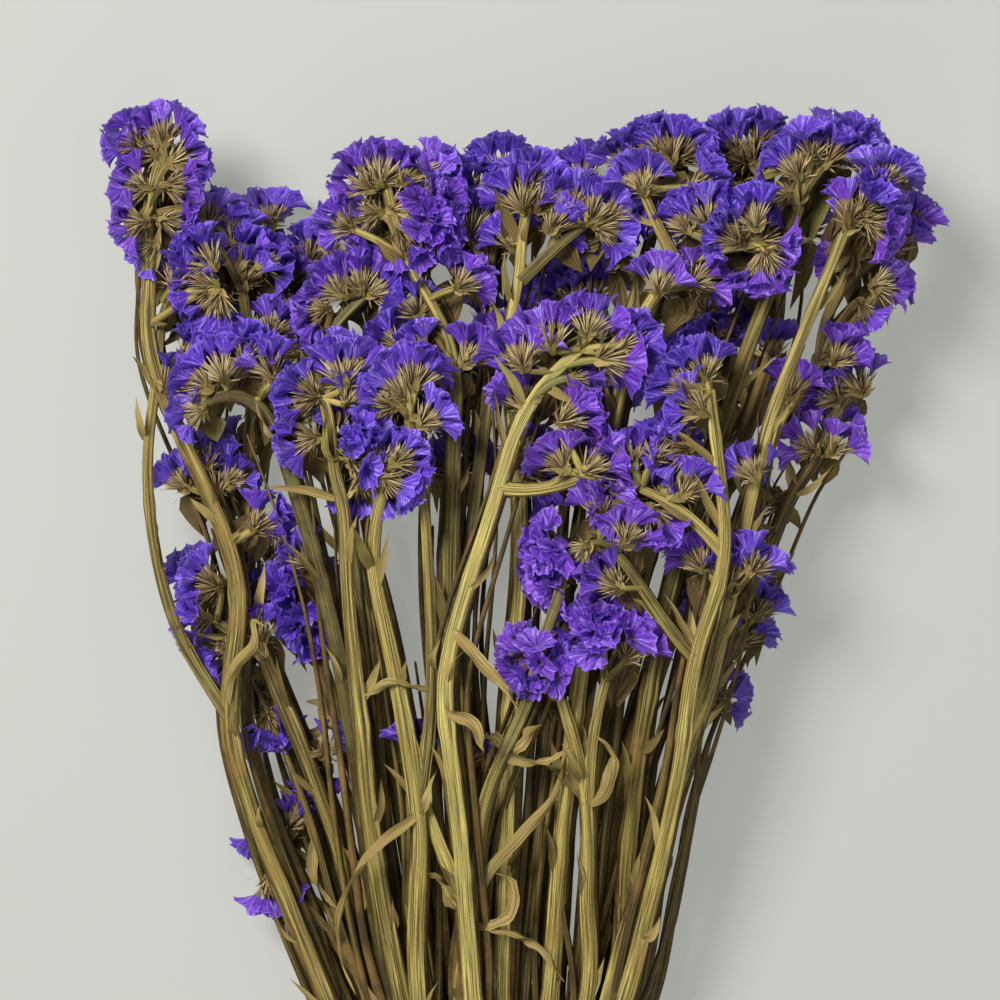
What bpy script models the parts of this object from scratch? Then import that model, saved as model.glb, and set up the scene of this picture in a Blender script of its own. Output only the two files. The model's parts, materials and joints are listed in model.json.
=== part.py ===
"""A bunch of dried statice, lying on a surface with its flower heads towards +Y.

The bunch is some thirty cut stems, bound with twine near their cut ends. Each stem is one spray: a
winged stalk, its twigs, the lance-shaped wing leaves at its joints and its flower heads, each head a
fan of straw-brown bracts with a frill of papery violet calyces. A spray grew as one piece, so it is
one solid. Sizes in the plan are millimetres: x to the right, y from the place where the stems start
to spread, z up from the surface. +Z faces the viewer.
"""

import math
from collections import namedtuple

import bmesh
import bpy
import numpy as np
from mathutils import Vector
from mathutils.bvhtree import BVHTree

MM = 0.001

# Driving dimensions, in millimetres
STALK_HALF_WIDTH = 3.1
STALK_HALF_THICKNESS = 1.9
TWIG_HALF_WIDTH = 1.6
TWIG_HALF_THICKNESS = 1.2
TIP_SHARE = 0.62
FOOT_RADIUS = 3.3
CELL = 7.2
ROW_RISE = CELL * math.sqrt(3) / 2
ROWS = (3, 4, 5, 4, 5, 4, 3)
TIE_Y = -160.0
CUT_Y = -212.0
CUT_STEP = 5.0
CELL_TOP_Y = -140.0
SEAT_GAP = 0.3
CLEARANCE = 0.5
STALK_STEP = 42.0
TWIG_STEP = 16.0
HEAD_DEPTH_LIFT = 2.0
RELAX_ROUNDS = 240

CUP_RADIUS = 4.0
CUP_BACK = 5.0
CUP_SINK = 2.2
HEAD_STEM_RADIUS = 1.25
HEAD_SPACING = 15.5
DOME_RISE = 3.6
FLORET_RIM = 6.9
FLORET_REACH = 9.5
FLORET_DIP = 3.0
BRACT_REACH = 8.5
BRIDGE_RADIUS = 0.9
BRIDGE_REACH = 34.0
MOST_MASSES = 30
LEAF_HALF_WIDTH = 2.3
LEAF_THICKNESS = 1.1
TWINE_RADIUS = 1.3
REST_FLAT = 0.8
TWINE_PRESS = 0.5
TWINE_TURNS = 2

STRAWS = ((0.42, 0.34, 0.13), (0.34, 0.29, 0.10), (0.40, 0.28, 0.13))
VIOLETS = ((0.085, 0.030, 0.40), (0.11, 0.045, 0.50), (0.15, 0.035, 0.36))
JUTE = (0.45, 0.30, 0.15)

Head = namedtuple("Head", "x y aim tilt size")
Spray = namedtuple("Spray", "name depth stalk twigs heads leaves")

# Each spray: its depth at the heads, its stalk and twigs from the foot up, its heads (place, the way
# the frill faces in the plan and how far it leans to the viewer, size) and its leaves (foot to tip)
SPRAYS = (
    Spray(
        "spray_outer_left", 70,
        [(-72, 0), (-100, 72), (-110, 112), (-105, 150), (-109, 182), (-125, 216), (-138, 248), (-142, 270),
         (-141, 292), (-143, 312), (-138, 332), (-135, 344)],
        [[(-110, 112), (-130, 145), (-139, 175), (-143, 215), (-139, 250), (-136, 280), (-126, 296)]],
        [Head(-135, 348, 90, -12, 1.0), Head(-142, 341, 150, -8, 1.0), Head(-129, 338, 30, -10, 1.0),
         Head(-146, 326, 170, -5, 1.0), Head(-131, 326, 0, -12, 0.9), Head(-146, 311, 185, 10, 0.8),
         Head(-133, 312, -10, -20, 0.8), Head(-141, 301, 220, -25, 0.7),
         Head(-119, 297, 135, 0, 1.1), Head(-120, 286, 180, 0, 1.1), Head(-114, 278, -105, 0, 1.1)],
        [((-142, 314), (-120, 321)), ((-110, 114), (-100, 152)), ((-109, 182), (-116, 203))],
    ),
    Spray(
        "spray_left_tall", 46,
        [(-66, 0), (-92, 72), (-102, 115), (-104, 160), (-102, 190), (-100, 225), (-101, 262), (-104, 284)],
        [],
        [Head(-104, 300, 80, -10, 1.0), Head(-95, 297, 20, -15, 0.9), Head(-112, 309, 120, -15, 1.0),
         Head(-119, 316, 100, -20, 1.0), Head(-108, 222, 150, 0, 0.9)],
        [((-104, 160), (-96, 178))],
    ),
    Spray(
        "spray_left_arch", 82,
        [(-45, 0), (-52, 50), (-58, 100), (-65, 140), (-73, 175), (-81, 202), (-89, 226), (-97, 240),
         (-109, 244), (-118, 239)],
        [],
        [Head(-120, 247, 155, -5, 1.0), Head(-111, 253, 100, -5, 1.15), Head(-122, 234, 205, 0, 0.8),
         Head(-92, 253, 115, 0, 1.0)],
        [],
    ),
    Spray(
        "spray_left_low", 60,
        [(-52, 0), (-64, 50), (-79, 95), (-95, 135), (-106, 165), (-114, 188), (-116, 200)],
        [[(-95, 135), (-108, 146), (-115, 150)]],
        [Head(-119, 166, 165, 10, 1.1), Head(-122, 151, 185, 30, 0.9), Head(-112, 138, 205, 30, 0.8),
         Head(-116, 207, 105, 0, 1.1), Head(-108, 209, 40, -10, 0.8)],
        [],
    ),
    Spray(
        "spray_left_mid", 88,
        [(-40, 0), (-50, 60), (-55, 110), (-60, 160), (-62, 200), (-68, 216), (-65, 228), (-70, 240)],
        [],
        [Head(-77, 242, 165, 5, 1.1), Head(-62, 251, 95, 0, 1.25), Head(-59, 241, 60, 15, 0.8),
         Head(-53, 226, 25, 40, 0.9), Head(-55, 216, 10, 40, 1.15), Head(-77, 224, 190, 10, 1.0),
         Head(-56, 205, -80, -5, 1.0)],
        [((-62, 200), (-92, 205))],
    ),
    Spray(
        "spray_forked", 94,
        [(-33, 0), (-33, 40), (-32, 75), (-42, 135), (-50, 172), (-49, 190), (-46, 205)],
        [[(-32, 75), (-27, 120), (-28, 160), (-30, 200), (-35, 220), (-36, 232)]],
        [Head(-41, 243, 135, -5, 1.15), Head(-33, 249, 80, -5, 1.25), Head(-46, 238, 165, -10, 0.9),
         Head(-43, 207, -25, -10, 1.0), Head(-38, 216, 30, -10, 0.9)],
        [((-32, 75), (-62, 44)), ((-50, 172), (-58, 190))],
    ),
    Spray(
        "spray_centre", 97,
        [(-12, 0), (-15, 40), (-18, 80), (-22, 112), (-21, 140), (-9, 176), (-1, 205), (5, 225), (11, 238),
         (20, 250), (31, 259)],
        [[(-4, 190), (14, 203), (33, 209)]],
        [Head(8, 257, 100, -5, 1.15), Head(20, 264, 95, -5, 1.15), Head(35, 269, 80, -5, 1.1),
         Head(44, 256, 10, -5, 1.2), Head(38, 212, 20, -10, 1.2), Head(28, 232, 20, -10, 1.1),
         Head(31, 246, -30, -10, 0.8)],
        [((5, 237), (-5, 260)), ((20, 244), (34, 237))],
    ),
    Spray(
        "spray_centre_tall", 58,
        [(-5, 0), (-8, 50), (-14, 100), (-15, 150), (-10, 200), (-4, 248), (-2, 275), (-4, 292)],
        [],
        [Head(-12, 314, 95, 0, 1.2), Head(-21, 309, 170, -10, 0.9), Head(-13, 328, 100, 25, 1.1),
         Head(1, 336, 90, -10, 1.1)],
        [((-4, 292), (-24, 296))],
    ),
    Spray(
        "spray_centre_right", 74,
        [(0, 0), (2, 60), (4, 120), (8, 170), (7, 215), (3, 258), (5, 278), (8, 288), (8, 303), (10, 314)],
        [[(8, 288), (22, 302), (33, 310)]],
        [Head(8, 321, 105, 0, 1.15), Head(17, 321, 70, 0, 1.1), Head(22, 311, 60, -15, 0.9),
         Head(39, 316, 60, -5, 1.15), Head(43, 308, -10, -5, 1.0), Head(11, 216, 30, -5, 1.2),
         Head(14, 208, -20, -5, 1.0)],
        [((5, 278), (2, 300)), ((8, 303), (-3, 326))],
    ),
    Spray(
        "spray_top_left", 66,
        [(-8, 0), (-15, 80), (-20, 150), (-19, 210), (-18, 255), (-28, 281), (-38, 296), (-42, 312),
         (-46, 328)],
        [],
        [Head(-48, 333, 90, 0, 1.15), Head(-56, 328, 150, 0, 1.1), Head(-37, 331, 50, 10, 0.9),
         Head(-40, 318, 10, -5, 1.0), Head(-38, 306, -50, -5, 1.0), Head(-27, 322, 10, 55, 1.2),
         Head(-29, 308, -20, 50, 1.1), Head(-53, 315, 190, -5, 1.0), Head(-63, 311, 150, -10, 0.9)],
        [((-38, 296), (-50, 305)), ((-44, 314), (-61, 311))],
    ),
    Spray(
        "spray_centre_low", 90,
        [(-15, 0), (-10, 28), (-7, 70), (3, 100), (12, 118), (19, 148), (27, 166), (27, 178)],
        [[(-10, 28), (-20, 55), (-29, 78), (-34, 96)]],
        [Head(22, 181, 175, 35, 1.05), Head(22, 169, 200, 35, 1.05)],
        [((-10, 30), (28, 101)), ((-10, 30), (-28, 46)), ((27, 178), (38, 184))],
    ),
    Spray(
        "spray_ribbed_low", 84,
        [(36, 0), (35, 40), (35, 78), (31, 100), (25, 120)],
        [[(35, 78), (37, 108), (42, 128)]],
        [Head(19, 131, 140, 50, 1.1), Head(12, 138, 150, 50, 1.0), Head(45, 146, 120, 50, 1.3),
         Head(36, 149, 150, 50, 1.1), Head(53, 141, 60, -10, 1.1)],
        [((35, 78), (26, 94)), ((35, 80), (14, 98))],
    ),
    Spray(
        "spray_right_long", 70,
        [(48, 0), (52, 60), (56, 98), (63, 140), (72, 180), (82, 212), (92, 240), (101, 264), (109, 285),
         (116, 305), (120, 318)],
        [],
        [Head(118, 334, 110, 10, 1.1), Head(126, 341, 80, 20, 1.0), Head(134, 338, 50, 0, 1.1),
         Head(142, 341, 20, 25, 1.1), Head(113, 322, 190, -20, 0.8)],
        [((56, 98), (66, 108)), ((120, 306), (128, 303))],
    ),
    Spray(
        "spray_right_front", 98,
        [(50, 0), (62, 50), (70, 90), (74, 120), (76, 138), (83, 163), (88, 178), (86, 200), (84, 213),
         (83, 230), (82, 243)],
        [[(76, 138), (66, 150), (56, 165), (46, 180), (39, 184)],
         [(88, 178), (78, 190), (66, 200), (55, 204)]],
        [Head(76, 236, 155, 0, 1.05), Head(80, 252, 100, 10, 1.1), Head(70, 219, 190, -5, 1.15),
         Head(48, 198, 195, 10, 1.15), Head(60, 193, -75, -15, 1.0), Head(32, 180, 230, -10, 0.7)],
        [((84, 213), (65, 229)), ((76, 140), (64, 164))],
    ),
    Spray(
        "spray_right_upper", 86,
        [(45, 0), (55, 40), (68, 82), (82, 122), (91, 160), (97, 190), (102, 212), (109, 238), (116, 254),
         (126, 280), (136, 305)],
        [],
        [Head(139, 314, 80, 0, 1.0), Head(147, 317, 40, 30, 1.15), Head(149, 308, -30, 20, 1.0),
         Head(152, 328, 70, 20, 1.0)],
        [((98, 203), (102, 235))],
    ),
    Spray(
        "spray_right", 62,
        [(52, 0), (64, 55), (77, 100), (88, 148), (95, 182), (103, 208), (116, 236), (129, 255), (142, 270),
         (151, 281)],
        [[(129, 255), (130, 272), (138, 288), (149, 296), (158, 302)]],
        [Head(155, 287, 10, 0, 1.0), Head(160, 305, 70, 5, 1.1), Head(150, 302, 110, 10, 1.0),
         Head(138, 296, 150, 0, 0.9), Head(146, 277, -60, -20, 0.7)],
        [((129, 257), (145, 266))],
    ),
    Spray(
        "spray_outer_right", 52,
        [(56, 0), (66, 60), (76, 96), (86, 122), (97, 146), (107, 174), (113, 190), (119, 204), (131, 218),
         (134, 230), (142, 243)],
        [],
        [Head(146, 248, 110, 10, 1.05), Head(134, 243, 150, 10, 1.0), Head(137, 222, 50, 0, 0.8),
         Head(124, 222, 150, 0, 0.9), Head(112, 200, 165, 10, 1.0), Head(107, 186, 200, 10, 0.9)],
        [((119, 205), (118, 221)), ((131, 219), (128, 232))],
    ),
    Spray(
        "spray_low_right", 42,
        [(58, 0), (66, 50), (73, 88), (84, 124), (91, 138)],
        [[(73, 94), (82, 110), (88, 115)]],
        [Head(92, 119, 0, 10, 0.95), Head(100, 145, 55, 5, 1.1), Head(92, 160, 110, 40, 1.2),
         Head(102, 167, 70, 20, 0.9)],
        [],
    ),
    Spray(
        "spray_top_right", 40,
        [(40, 0), (46, 60), (62, 120), (83, 180), (100, 225), (112, 262), (115, 290), (112, 315), (107, 332)],
        [],
        [Head(103, 344, 105, 0, 1.15), Head(96, 340, 165, 20, 1.1), Head(107, 350, 75, 0, 0.9),
         Head(96, 326, 200, 10, 1.0), Head(128, 312, 40, 0, 1.0)],
        [((112, 262), (103, 274))],
    ),
    Spray(
        "spray_top_mid", 55,
        [(10, 0), (15, 60), (22, 120), (30, 180), (40, 230), (50, 268), (57, 290), (64, 315), (68, 332)],
        [],
        [Head(69, 343, 100, -5, 1.15), Head(76, 341, 45, -5, 1.1), Head(61, 343, 145, 0, 1.0),
         Head(50, 338, 120, 10, 1.0)],
        [],
    ),
    Spray(
        "spray_mid_spread", 82,
        [(20, 0), (24, 60), (30, 120), (37, 180), (46, 235), (54, 268), (62, 282), (71, 293), (85, 301),
         (98, 305), (104, 303)],
        [[(71, 293), (62, 310), (57, 322)]],
        [Head(56, 327, 100, 0, 1.0), Head(82, 313, 100, 0, 1.15), Head(99, 312, 115, 0, 1.05),
         Head(107, 301, -20, 10, 0.9), Head(105, 294, -85, 10, 1.05)],
        [((71, 293), (80, 302))],
    ),
    Spray(
        "spray_inner_left", 60,
        [(-30, 0), (-38, 60), (-48, 120), (-58, 170), (-70, 220), (-74, 252), (-71, 267), (-62, 277),
         (-55, 283)],
        [],
        [Head(-67, 285, 145, 0, 1.0), Head(-57, 289, 105, 0, 1.1), Head(-49, 284, 15, 0, 0.9),
         Head(-74, 277, 190, -5, 0.9)],
        [((-74, 254), (-84, 266))],
    ),
    Spray(
        "spray_back_left", 34,
        [(-25, 0), (-40, 80), (-58, 160), (-72, 225), (-82, 272), (-92, 288)],
        [],
        [Head(-92, 299, 80, 0, 1.0), Head(-79, 303, 90, -5, 1.0), Head(-69, 303, 85, -5, 0.9),
         Head(-60, 302, 60, -10, 0.9), Head(-86, 262, 150, -10, 1.0)],
        [((-82, 272), (-98, 298))],
    ),
    Spray(
        "spray_low_left", 40,
        [(-58, 0), (-72, 40), (-84, 75), (-94, 108), (-97, 118)],
        [[(-72, 40), (-84, 52), (-90, 56)], [(-62, 14), (-78, 30), (-88, 40)]],
        [Head(-98, 60, -95, 10, 0.9), Head(-86, 66, 60, 0, 0.8), Head(-94, 41, -75, 5, 0.95),
         Head(-98, 108, -60, 30, 1.0), Head(-103, 128, 150, 10, 0.9), Head(-76, 86, -80, 10, 0.8)],
        [((-90, 66), (-108, 79))],
    ),
    Spray(
        "spray_inner_low", 46,
        [(-42, 0), (-53, 60), (-66, 110), (-77, 143)],
        [],
        [Head(-86, 163, 130, 35, 1.25), Head(-71, 161, 55, 35, 1.25), Head(-79, 149, -70, 45, 1.1),
         Head(-95, 180, 105, 0, 1.0), Head(-98, 160, 185, 25, 1.0)],
        [],
    ),
    Spray(
        "spray_back_mid", 24,
        [(-20, 0), (-20, 80), (-24, 150), (-22, 205), (-18, 235)],
        [],
        [Head(-24, 250, 100, 0, 1.15), Head(-9, 249, 80, 0, 1.1), Head(-22, 213, 130, 10, 1.2),
         Head(-12, 216, 40, 0, 1.0), Head(-32, 268, 120, 0, 1.0), Head(-5, 275, 70, 0, 0.9)],
        [],
    ),
    Spray(
        "spray_back_centre", 30,
        [(15, 0), (18, 80), (24, 160), (28, 220), (30, 262)],
        [],
        [Head(29, 284, 110, 10, 1.1), Head(40, 287, 70, 10, 1.1), Head(19, 287, 140, 0, 1.0),
         Head(33, 308, 90, 0, 1.0), Head(34, 334, 95, -5, 1.15), Head(44, 262, 20, 0, 1.0)],
        [],
    ),
    Spray(
        "spray_back_right", 26,
        [(33, 0), (40, 80), (58, 160), (76, 222), (86, 256)],
        [],
        [Head(72, 277, 120, 10, 1.2), Head(86, 282, 80, 20, 1.1), Head(97, 272, 30, 0, 1.1),
         Head(102, 244, 0, 0, 1.1), Head(66, 252, 160, 10, 1.1), Head(90, 318, 90, 0, 1.0)],
        [],
    ),
)


def clear_scene():
    for obj in list(bpy.data.objects):
        bpy.data.objects.remove(obj)


def smooth_path(points, step):
    """Points about a step apart on a smooth curve through the plan's points."""
    points = np.array(points, float)
    ends = np.vstack([2 * points[0] - points[1], points, 2 * points[-1] - points[-2]])
    out = [points[0]]
    for a, b, c, d in zip(ends, ends[1:], ends[2:], ends[3:]):
        count = max(1, round(float(np.linalg.norm(c - b)) / (step if c[1] > 5 else 1.8 * step)))
        for k in range(1, count + 1):
            t = k / count
            bend = 2 * a - 5 * b + 4 * c - d
            surge = 3 * b - a - 3 * c + d
            out.append(0.5 * (2 * b + (c - a) * t + bend * t**2 + surge * t**3))
    return np.array(out)


def thinned(points):
    """The curve without the points that lie close to the straight line between their neighbours."""
    kept = list(points)
    k = 1
    while k < len(kept) - 1:
        a, b, c = kept[k - 1], kept[k], kept[k + 1]
        span = c - a
        off = np.linalg.norm(np.cross(b - a, span)) / np.linalg.norm(span)
        if off < 1.0 and np.linalg.norm(span) < 75 and b[1] > CELL_TOP_Y + 1:
            kept.pop(k)
        else:
            k += 1
    return np.array(kept)


def cells():
    """The place of each spray in the bound part, by rows from the surface up, each row left to right."""
    order = sorted(range(len(SPRAYS)), key=lambda i: SPRAYS[i].depth)
    places = {}
    base = FOOT_RADIUS + SEAT_GAP + 2 * TWINE_RADIUS - TWINE_PRESS
    start = 0
    for row, count in enumerate(ROWS):
        members = sorted(order[start : start + count], key=lambda i: SPRAYS[i].stalk[0][0])
        start += count
        for column, index in enumerate(members):
            x = (column - (count - 1) / 2) * CELL
            places[index] = (x, base + row * ROW_RISE)
    return places


class Limb:
    """A stalk, a twig or a head's stem: points, the half width at each, and where it leaves its parent."""

    def __init__(self, points, half_width, half_thickness, parent=None, parent_point=0):
        self.points = points
        self.half_width = half_width
        self.half_thickness = half_thickness
        self.parent = parent
        self.parent_point = parent_point


def stalk_limb(spray, cell, index):
    """The main stalk, from its cut end through the binding to its top."""
    x, z = cell
    foot = [(x, CUT_Y - CUT_STEP * (index % 3), z), (x, TIE_Y, z), (x, CELL_TOP_Y, z)]
    first = spray.stalk[0]
    top = [(px, py, spray.depth) for px, py in spray.stalk]
    blend = [((x + first[0]) / 2, -70.0, z + (spray.depth - z) * 0.07)]
    climb = []
    for px, py, pz in top:
        share = min(1.0, (py + 90.0) / 250.0)
        share = share * share * (3 - 2 * share)
        climb.append((px, py, z + (pz - z) * share))
    points = thinned(smooth_path(foot + blend + climb, STALK_STEP))
    along = np.linspace(0, 1, len(points))
    waist = np.clip((points[:, 1] - CELL_TOP_Y) / 60.0, 0, 1)
    half_width = FOOT_RADIUS + (STALK_HALF_WIDTH - FOOT_RADIUS) * waist
    half_width = half_width * (1 - (1 - TIP_SHARE) * along**3)
    thickness = FOOT_RADIUS + (STALK_HALF_THICKNESS - FOOT_RADIUS) * waist
    return Limb(points, half_width, thickness * (1 - (1 - TIP_SHARE) * along**3))


def nearest(limbs, x, y):
    """The limb and the point on it that a piece at x, y grows from: the nearest that lies below it."""
    best = None
    for number, limb in enumerate(limbs):
        for k in range(2, len(limb.points)):
            px, py = limb.points[k, 0], limb.points[k, 1]
            away = math.hypot(px - x, py - y) + (0 if py <= y + 1 else 25)
            if best is None or away < best[0]:
                best = (away, number, k)
    return best[1], best[2]


def twig_limb(limbs, plan, depth):
    number, k = nearest(limbs[:1], *plan[0])
    root = limbs[number].points[k]
    points = [tuple(root)] + [(x, y, root[2] + (depth - root[2]) * 0.6) for x, y in plan[1:]]
    points = smooth_path(points, STALK_STEP)
    along = np.linspace(0, 1, len(points))
    width = STALK_HALF_WIDTH * 0.75 * (1 - 0.35 * along)
    return Limb(points, width, width * 0.62, number, k)


def head_limb(limbs, head):
    """The short stem under a head, which ends inside the head's core."""
    count = len([limb for limb in limbs if not hasattr(limb, "head")])
    number, k = nearest(limbs[:count], head.x, head.y)
    root = limbs[number].points[k]
    away = math.hypot(head.x - root[0], head.y - root[1])
    lift = HEAD_DEPTH_LIFT + 0.12 * away * math.sin(head.x * 1.7 + head.y)
    if away < 9.0 and k < len(limbs[number].points) - 1:
        lift = 8.0 if math.sin(head.x * 3.1 + head.y * 1.3) > -0.3 else -8.0
    aim, tilt = math.radians(head.aim), math.radians(head.tilt)
    axis = np.array([math.cos(aim) * math.cos(tilt), math.sin(aim) * math.cos(tilt), math.sin(tilt)])
    end = np.array([head.x, head.y, root[2] + lift]) - axis * CUP_SINK * head.size
    base = end - axis * CUP_BACK * head.size
    if away < 2 * CUP_BACK:
        points = np.array([root, end])
    else:
        bend = root + (base - root) * 0.55 + np.array([0, 2.0, 0])
        points = smooth_path([root, bend, base, end], TWIG_STEP)
    width = np.full(len(points), TWIG_HALF_WIDTH)
    limb = Limb(points, width, np.full(len(points), TWIG_HALF_THICKNESS), number, k)
    limb.head = head
    return limb


def skeleton():
    """Every spray's limbs, as they grow before the bunch settles."""
    places = cells()
    sprays = []
    for index, spray in enumerate(SPRAYS):
        limbs = [stalk_limb(spray, places[index], index)]
        for plan in spray.twigs:
            limbs.append(twig_limb(limbs, plan, spray.depth))
        grown = len(limbs)
        kept = []
        for head in spray.heads:
            if any(math.hypot(head.x - other.x, head.y - other.y) < HEAD_SPACING for other in kept):
                continue
            kept.append(head)
            limbs.append(head_limb(limbs[:grown], head))
        sprays.append(limbs)
    return sprays


def settle(sprays):
    """Moves the limbs of different sprays apart, mostly in depth, until none touches another."""
    starts, ends, radii, owners, points, links, fixed = [], [], [], [], [], [], []
    for owner, limbs in enumerate(sprays):
        offsets = []
        for limb in limbs:
            offset = len(points)
            offsets.append(offset)
            for k, point in enumerate(limb.points):
                points.append(point)
                fixed.append(point[1] < CELL_TOP_Y + 1)
                if k:
                    links.append((offset + k - 1, offset + k))
                    starts.append(offset + k - 1)
                    ends.append(offset + k)
                    radius = float(max(limb.half_width[k], limb.half_width[k - 1]))
                    last = hasattr(limb, "head") and k == len(limb.points) - 1
                    radii.append(1.35 * CUP_RADIUS * limb.head.size if last else radius)
                    owners.append(owner)
            if limb.parent is not None:
                links.append((offsets[limb.parent] + limb.parent_point, offset))
                links.append((offsets[limb.parent] + limb.parent_point, offset))
        for limb, offset in zip(limbs, offsets):
            limb.offset = offset
    rest = np.array(points)
    starts, ends, radii, owners = (np.array(v) for v in (starts, ends, radii, owners))
    links = np.array(links)
    fixed = np.array(fixed)
    moved = np.zeros_like(rest)
    weights = np.zeros(len(rest))
    np.add.at(weights, links[:, 0], 1)
    np.add.at(weights, links[:, 1], 1)
    worst = 0.0
    for turn in range(RELAX_ROUNDS):
        now = rest + moved
        if turn % 6 == 0:
            first, second = near_pairs(now, starts, ends, radii, owners)
        need = radii[first] + radii[second] + CLEARANCE
        corners = now[starts[first]], now[ends[first]], now[starts[second]], now[ends[second]]
        at_a, at_b, s, t = closest(*corners)
        apart = at_b - at_a
        distance = np.linalg.norm(apart, axis=1)
        short = need - distance
        hit = short > 0
        worst = float(short.max()) if len(short) else 0.0
        if turn > 60 and worst < 0.02:
            break
        direction = apart[hit] / np.maximum(distance[hit], 1e-6)[:, None]
        direction = direction * np.array([0.45, 0.3, 1.0])
        flat = np.linalg.norm(direction, axis=1) < 0.3
        direction[flat, 2] += 0.2
        direction /= np.linalg.norm(direction, axis=1)[:, None]
        push = direction * np.minimum(short[hit], 4.0)[:, None] * 0.42
        change = np.zeros_like(rest)
        share = np.zeros(len(rest))
        for sign, index, along in ((-1, first[hit], s[hit]), (1, second[hit], t[hit])):
            for which, part in ((starts, 1 - along), (ends, along)):
                np.add.at(change, which[index], sign * push * (0.3 + 0.7 * part)[:, None])
                np.add.at(share, which[index], 1.0)
        moved += change / np.maximum(1.0, share * 0.6)[:, None]
        mean = np.zeros_like(rest)
        np.add.at(mean, links[:, 0], moved[links[:, 1]])
        np.add.at(mean, links[:, 1], moved[links[:, 0]])
        mean /= np.maximum(weights, 1)[:, None]
        ease = 0.35 if turn < RELAX_ROUNDS * 0.7 else 0.12
        moved += (mean - moved) * ease
        moved[fixed] = 0
    for limbs in sprays:
        for limb in limbs:
            limb.points = (rest + moved)[limb.offset : limb.offset + len(limb.points)]
    for limbs in sprays:
        for limb in limbs:
            if limb.parent is not None:
                limb.points[0] = limbs[limb.parent].points[limb.parent_point]
    return worst


def near_pairs(points, starts, ends, radii, owners):
    middle = (points[starts] + points[ends]) / 2
    half = np.linalg.norm(points[ends] - points[starts], axis=1) / 2 + radii
    gap = np.linalg.norm(middle[:, None] - middle[None], axis=2)
    near = (gap < half[:, None] + half[None] + 6) & (owners[:, None] < owners[None])
    return np.nonzero(near)


def closest(a, b, c, d):
    """The closest points of segments ab and cd, and how far along each they lie."""
    u, v, w = b - a, d - c, a - c
    uu, uv, vv = (u * u).sum(1), (u * v).sum(1), (v * v).sum(1)
    uw, vw = (u * w).sum(1), (v * w).sum(1)
    den = np.maximum(uu * vv - uv * uv, 1e-9)
    s = np.clip((uv * vw - vv * uw) / den, 0, 1)
    t = np.clip((uv * s + vw) / np.maximum(vv, 1e-9), 0, 1)
    s = np.clip((uv * t - uw) / np.maximum(uu, 1e-9), 0, 1)
    return a + u * s[:, None], c + v * t[:, None], s, t


def unit(vector):
    vector = np.asarray(vector, float)
    return vector / max(float(np.linalg.norm(vector)), 1e-9)


class Body:
    """One closed piece: its points in millimetres and its triangles, facing out."""

    def __init__(self, points, faces):
        self.points = np.array(points, float)
        self.faces = [tuple(face) for face in faces]

    def tree(self):
        return BVHTree.FromPolygons([Vector(p) for p in self.points], self.faces)


def tube(points, half_width, half_thickness, sides=4):
    """A closed flattened stalk: a winged diamond section with four sides, or a three-sided one."""
    points = np.asarray(points, float)
    verts, faces = [], []
    for k, point in enumerate(points):
        tangent = unit(points[min(k + 1, len(points) - 1)] - points[max(k - 1, 0)])
        side = np.cross(tangent, [0.0, 0.0, 1.0])
        side = unit(side) if np.linalg.norm(side) > 0.2 else unit(np.cross(tangent, [1.0, 0.0, 0.0]))
        up = np.cross(side, tangent)
        for j in range(sides):
            angle = 2 * math.pi * j / sides
            across = side * half_width[k] * math.cos(angle)
            verts.append(point + across + up * half_thickness[k] * math.sin(angle))
    for k in range(len(points) - 1):
        for j in range(sides):
            a, b = k * sides + j, k * sides + (j + 1) % sides
            faces += [(a, b, b + sides), (a, b + sides, a + sides)]
    last = (len(points) - 1) * sides
    for j in range(1, sides - 1):
        faces += [(0, j + 1, j), (last, last + j, last + j + 1)]
    return outward(Body(verts, faces))


def volume(body):
    corners = body.points[np.array(body.faces)]
    return float(np.linalg.det(corners).sum()) / 6


def outward(body):
    if volume(body) < 0:
        body.faces = [face[::-1] for face in body.faces]
    return body


def leaf(root, tip, half_width, lift, turn):
    """A thin pointed blade, arched towards the viewer and keeled along its middle."""
    root, tip = np.asarray(root, float), np.asarray(tip, float)
    along = unit(tip - root)
    side = unit(np.cross(along, [0.0, 0.0, 1.0]))
    up = np.cross(side, along)
    side = side * math.cos(turn) + up * math.sin(turn)
    up = np.cross(side, along)
    verts, faces = [], []
    for share, width in ((0.0, 0.5), (0.3, 1.0), (0.65, 0.8)):
        centre = root + (tip - root) * share + up * lift * math.sin(math.pi * share)
        verts += [centre - side * half_width * width, centre + side * half_width * width]
        verts += [centre - up * LEAF_THICKNESS]
    for k in (0, 3):
        for j in range(3):
            a, b = k + j, k + (j + 1) % 3
            faces += [(a, b, b + 3), (a, b + 3, a + 3)]
    verts.append(tip)
    faces += [(6 + j, 6 + (j + 1) % 3, 9) for j in range(3)]
    faces += [(0, 2, 1)]
    return outward(Body(verts, faces))


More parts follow.
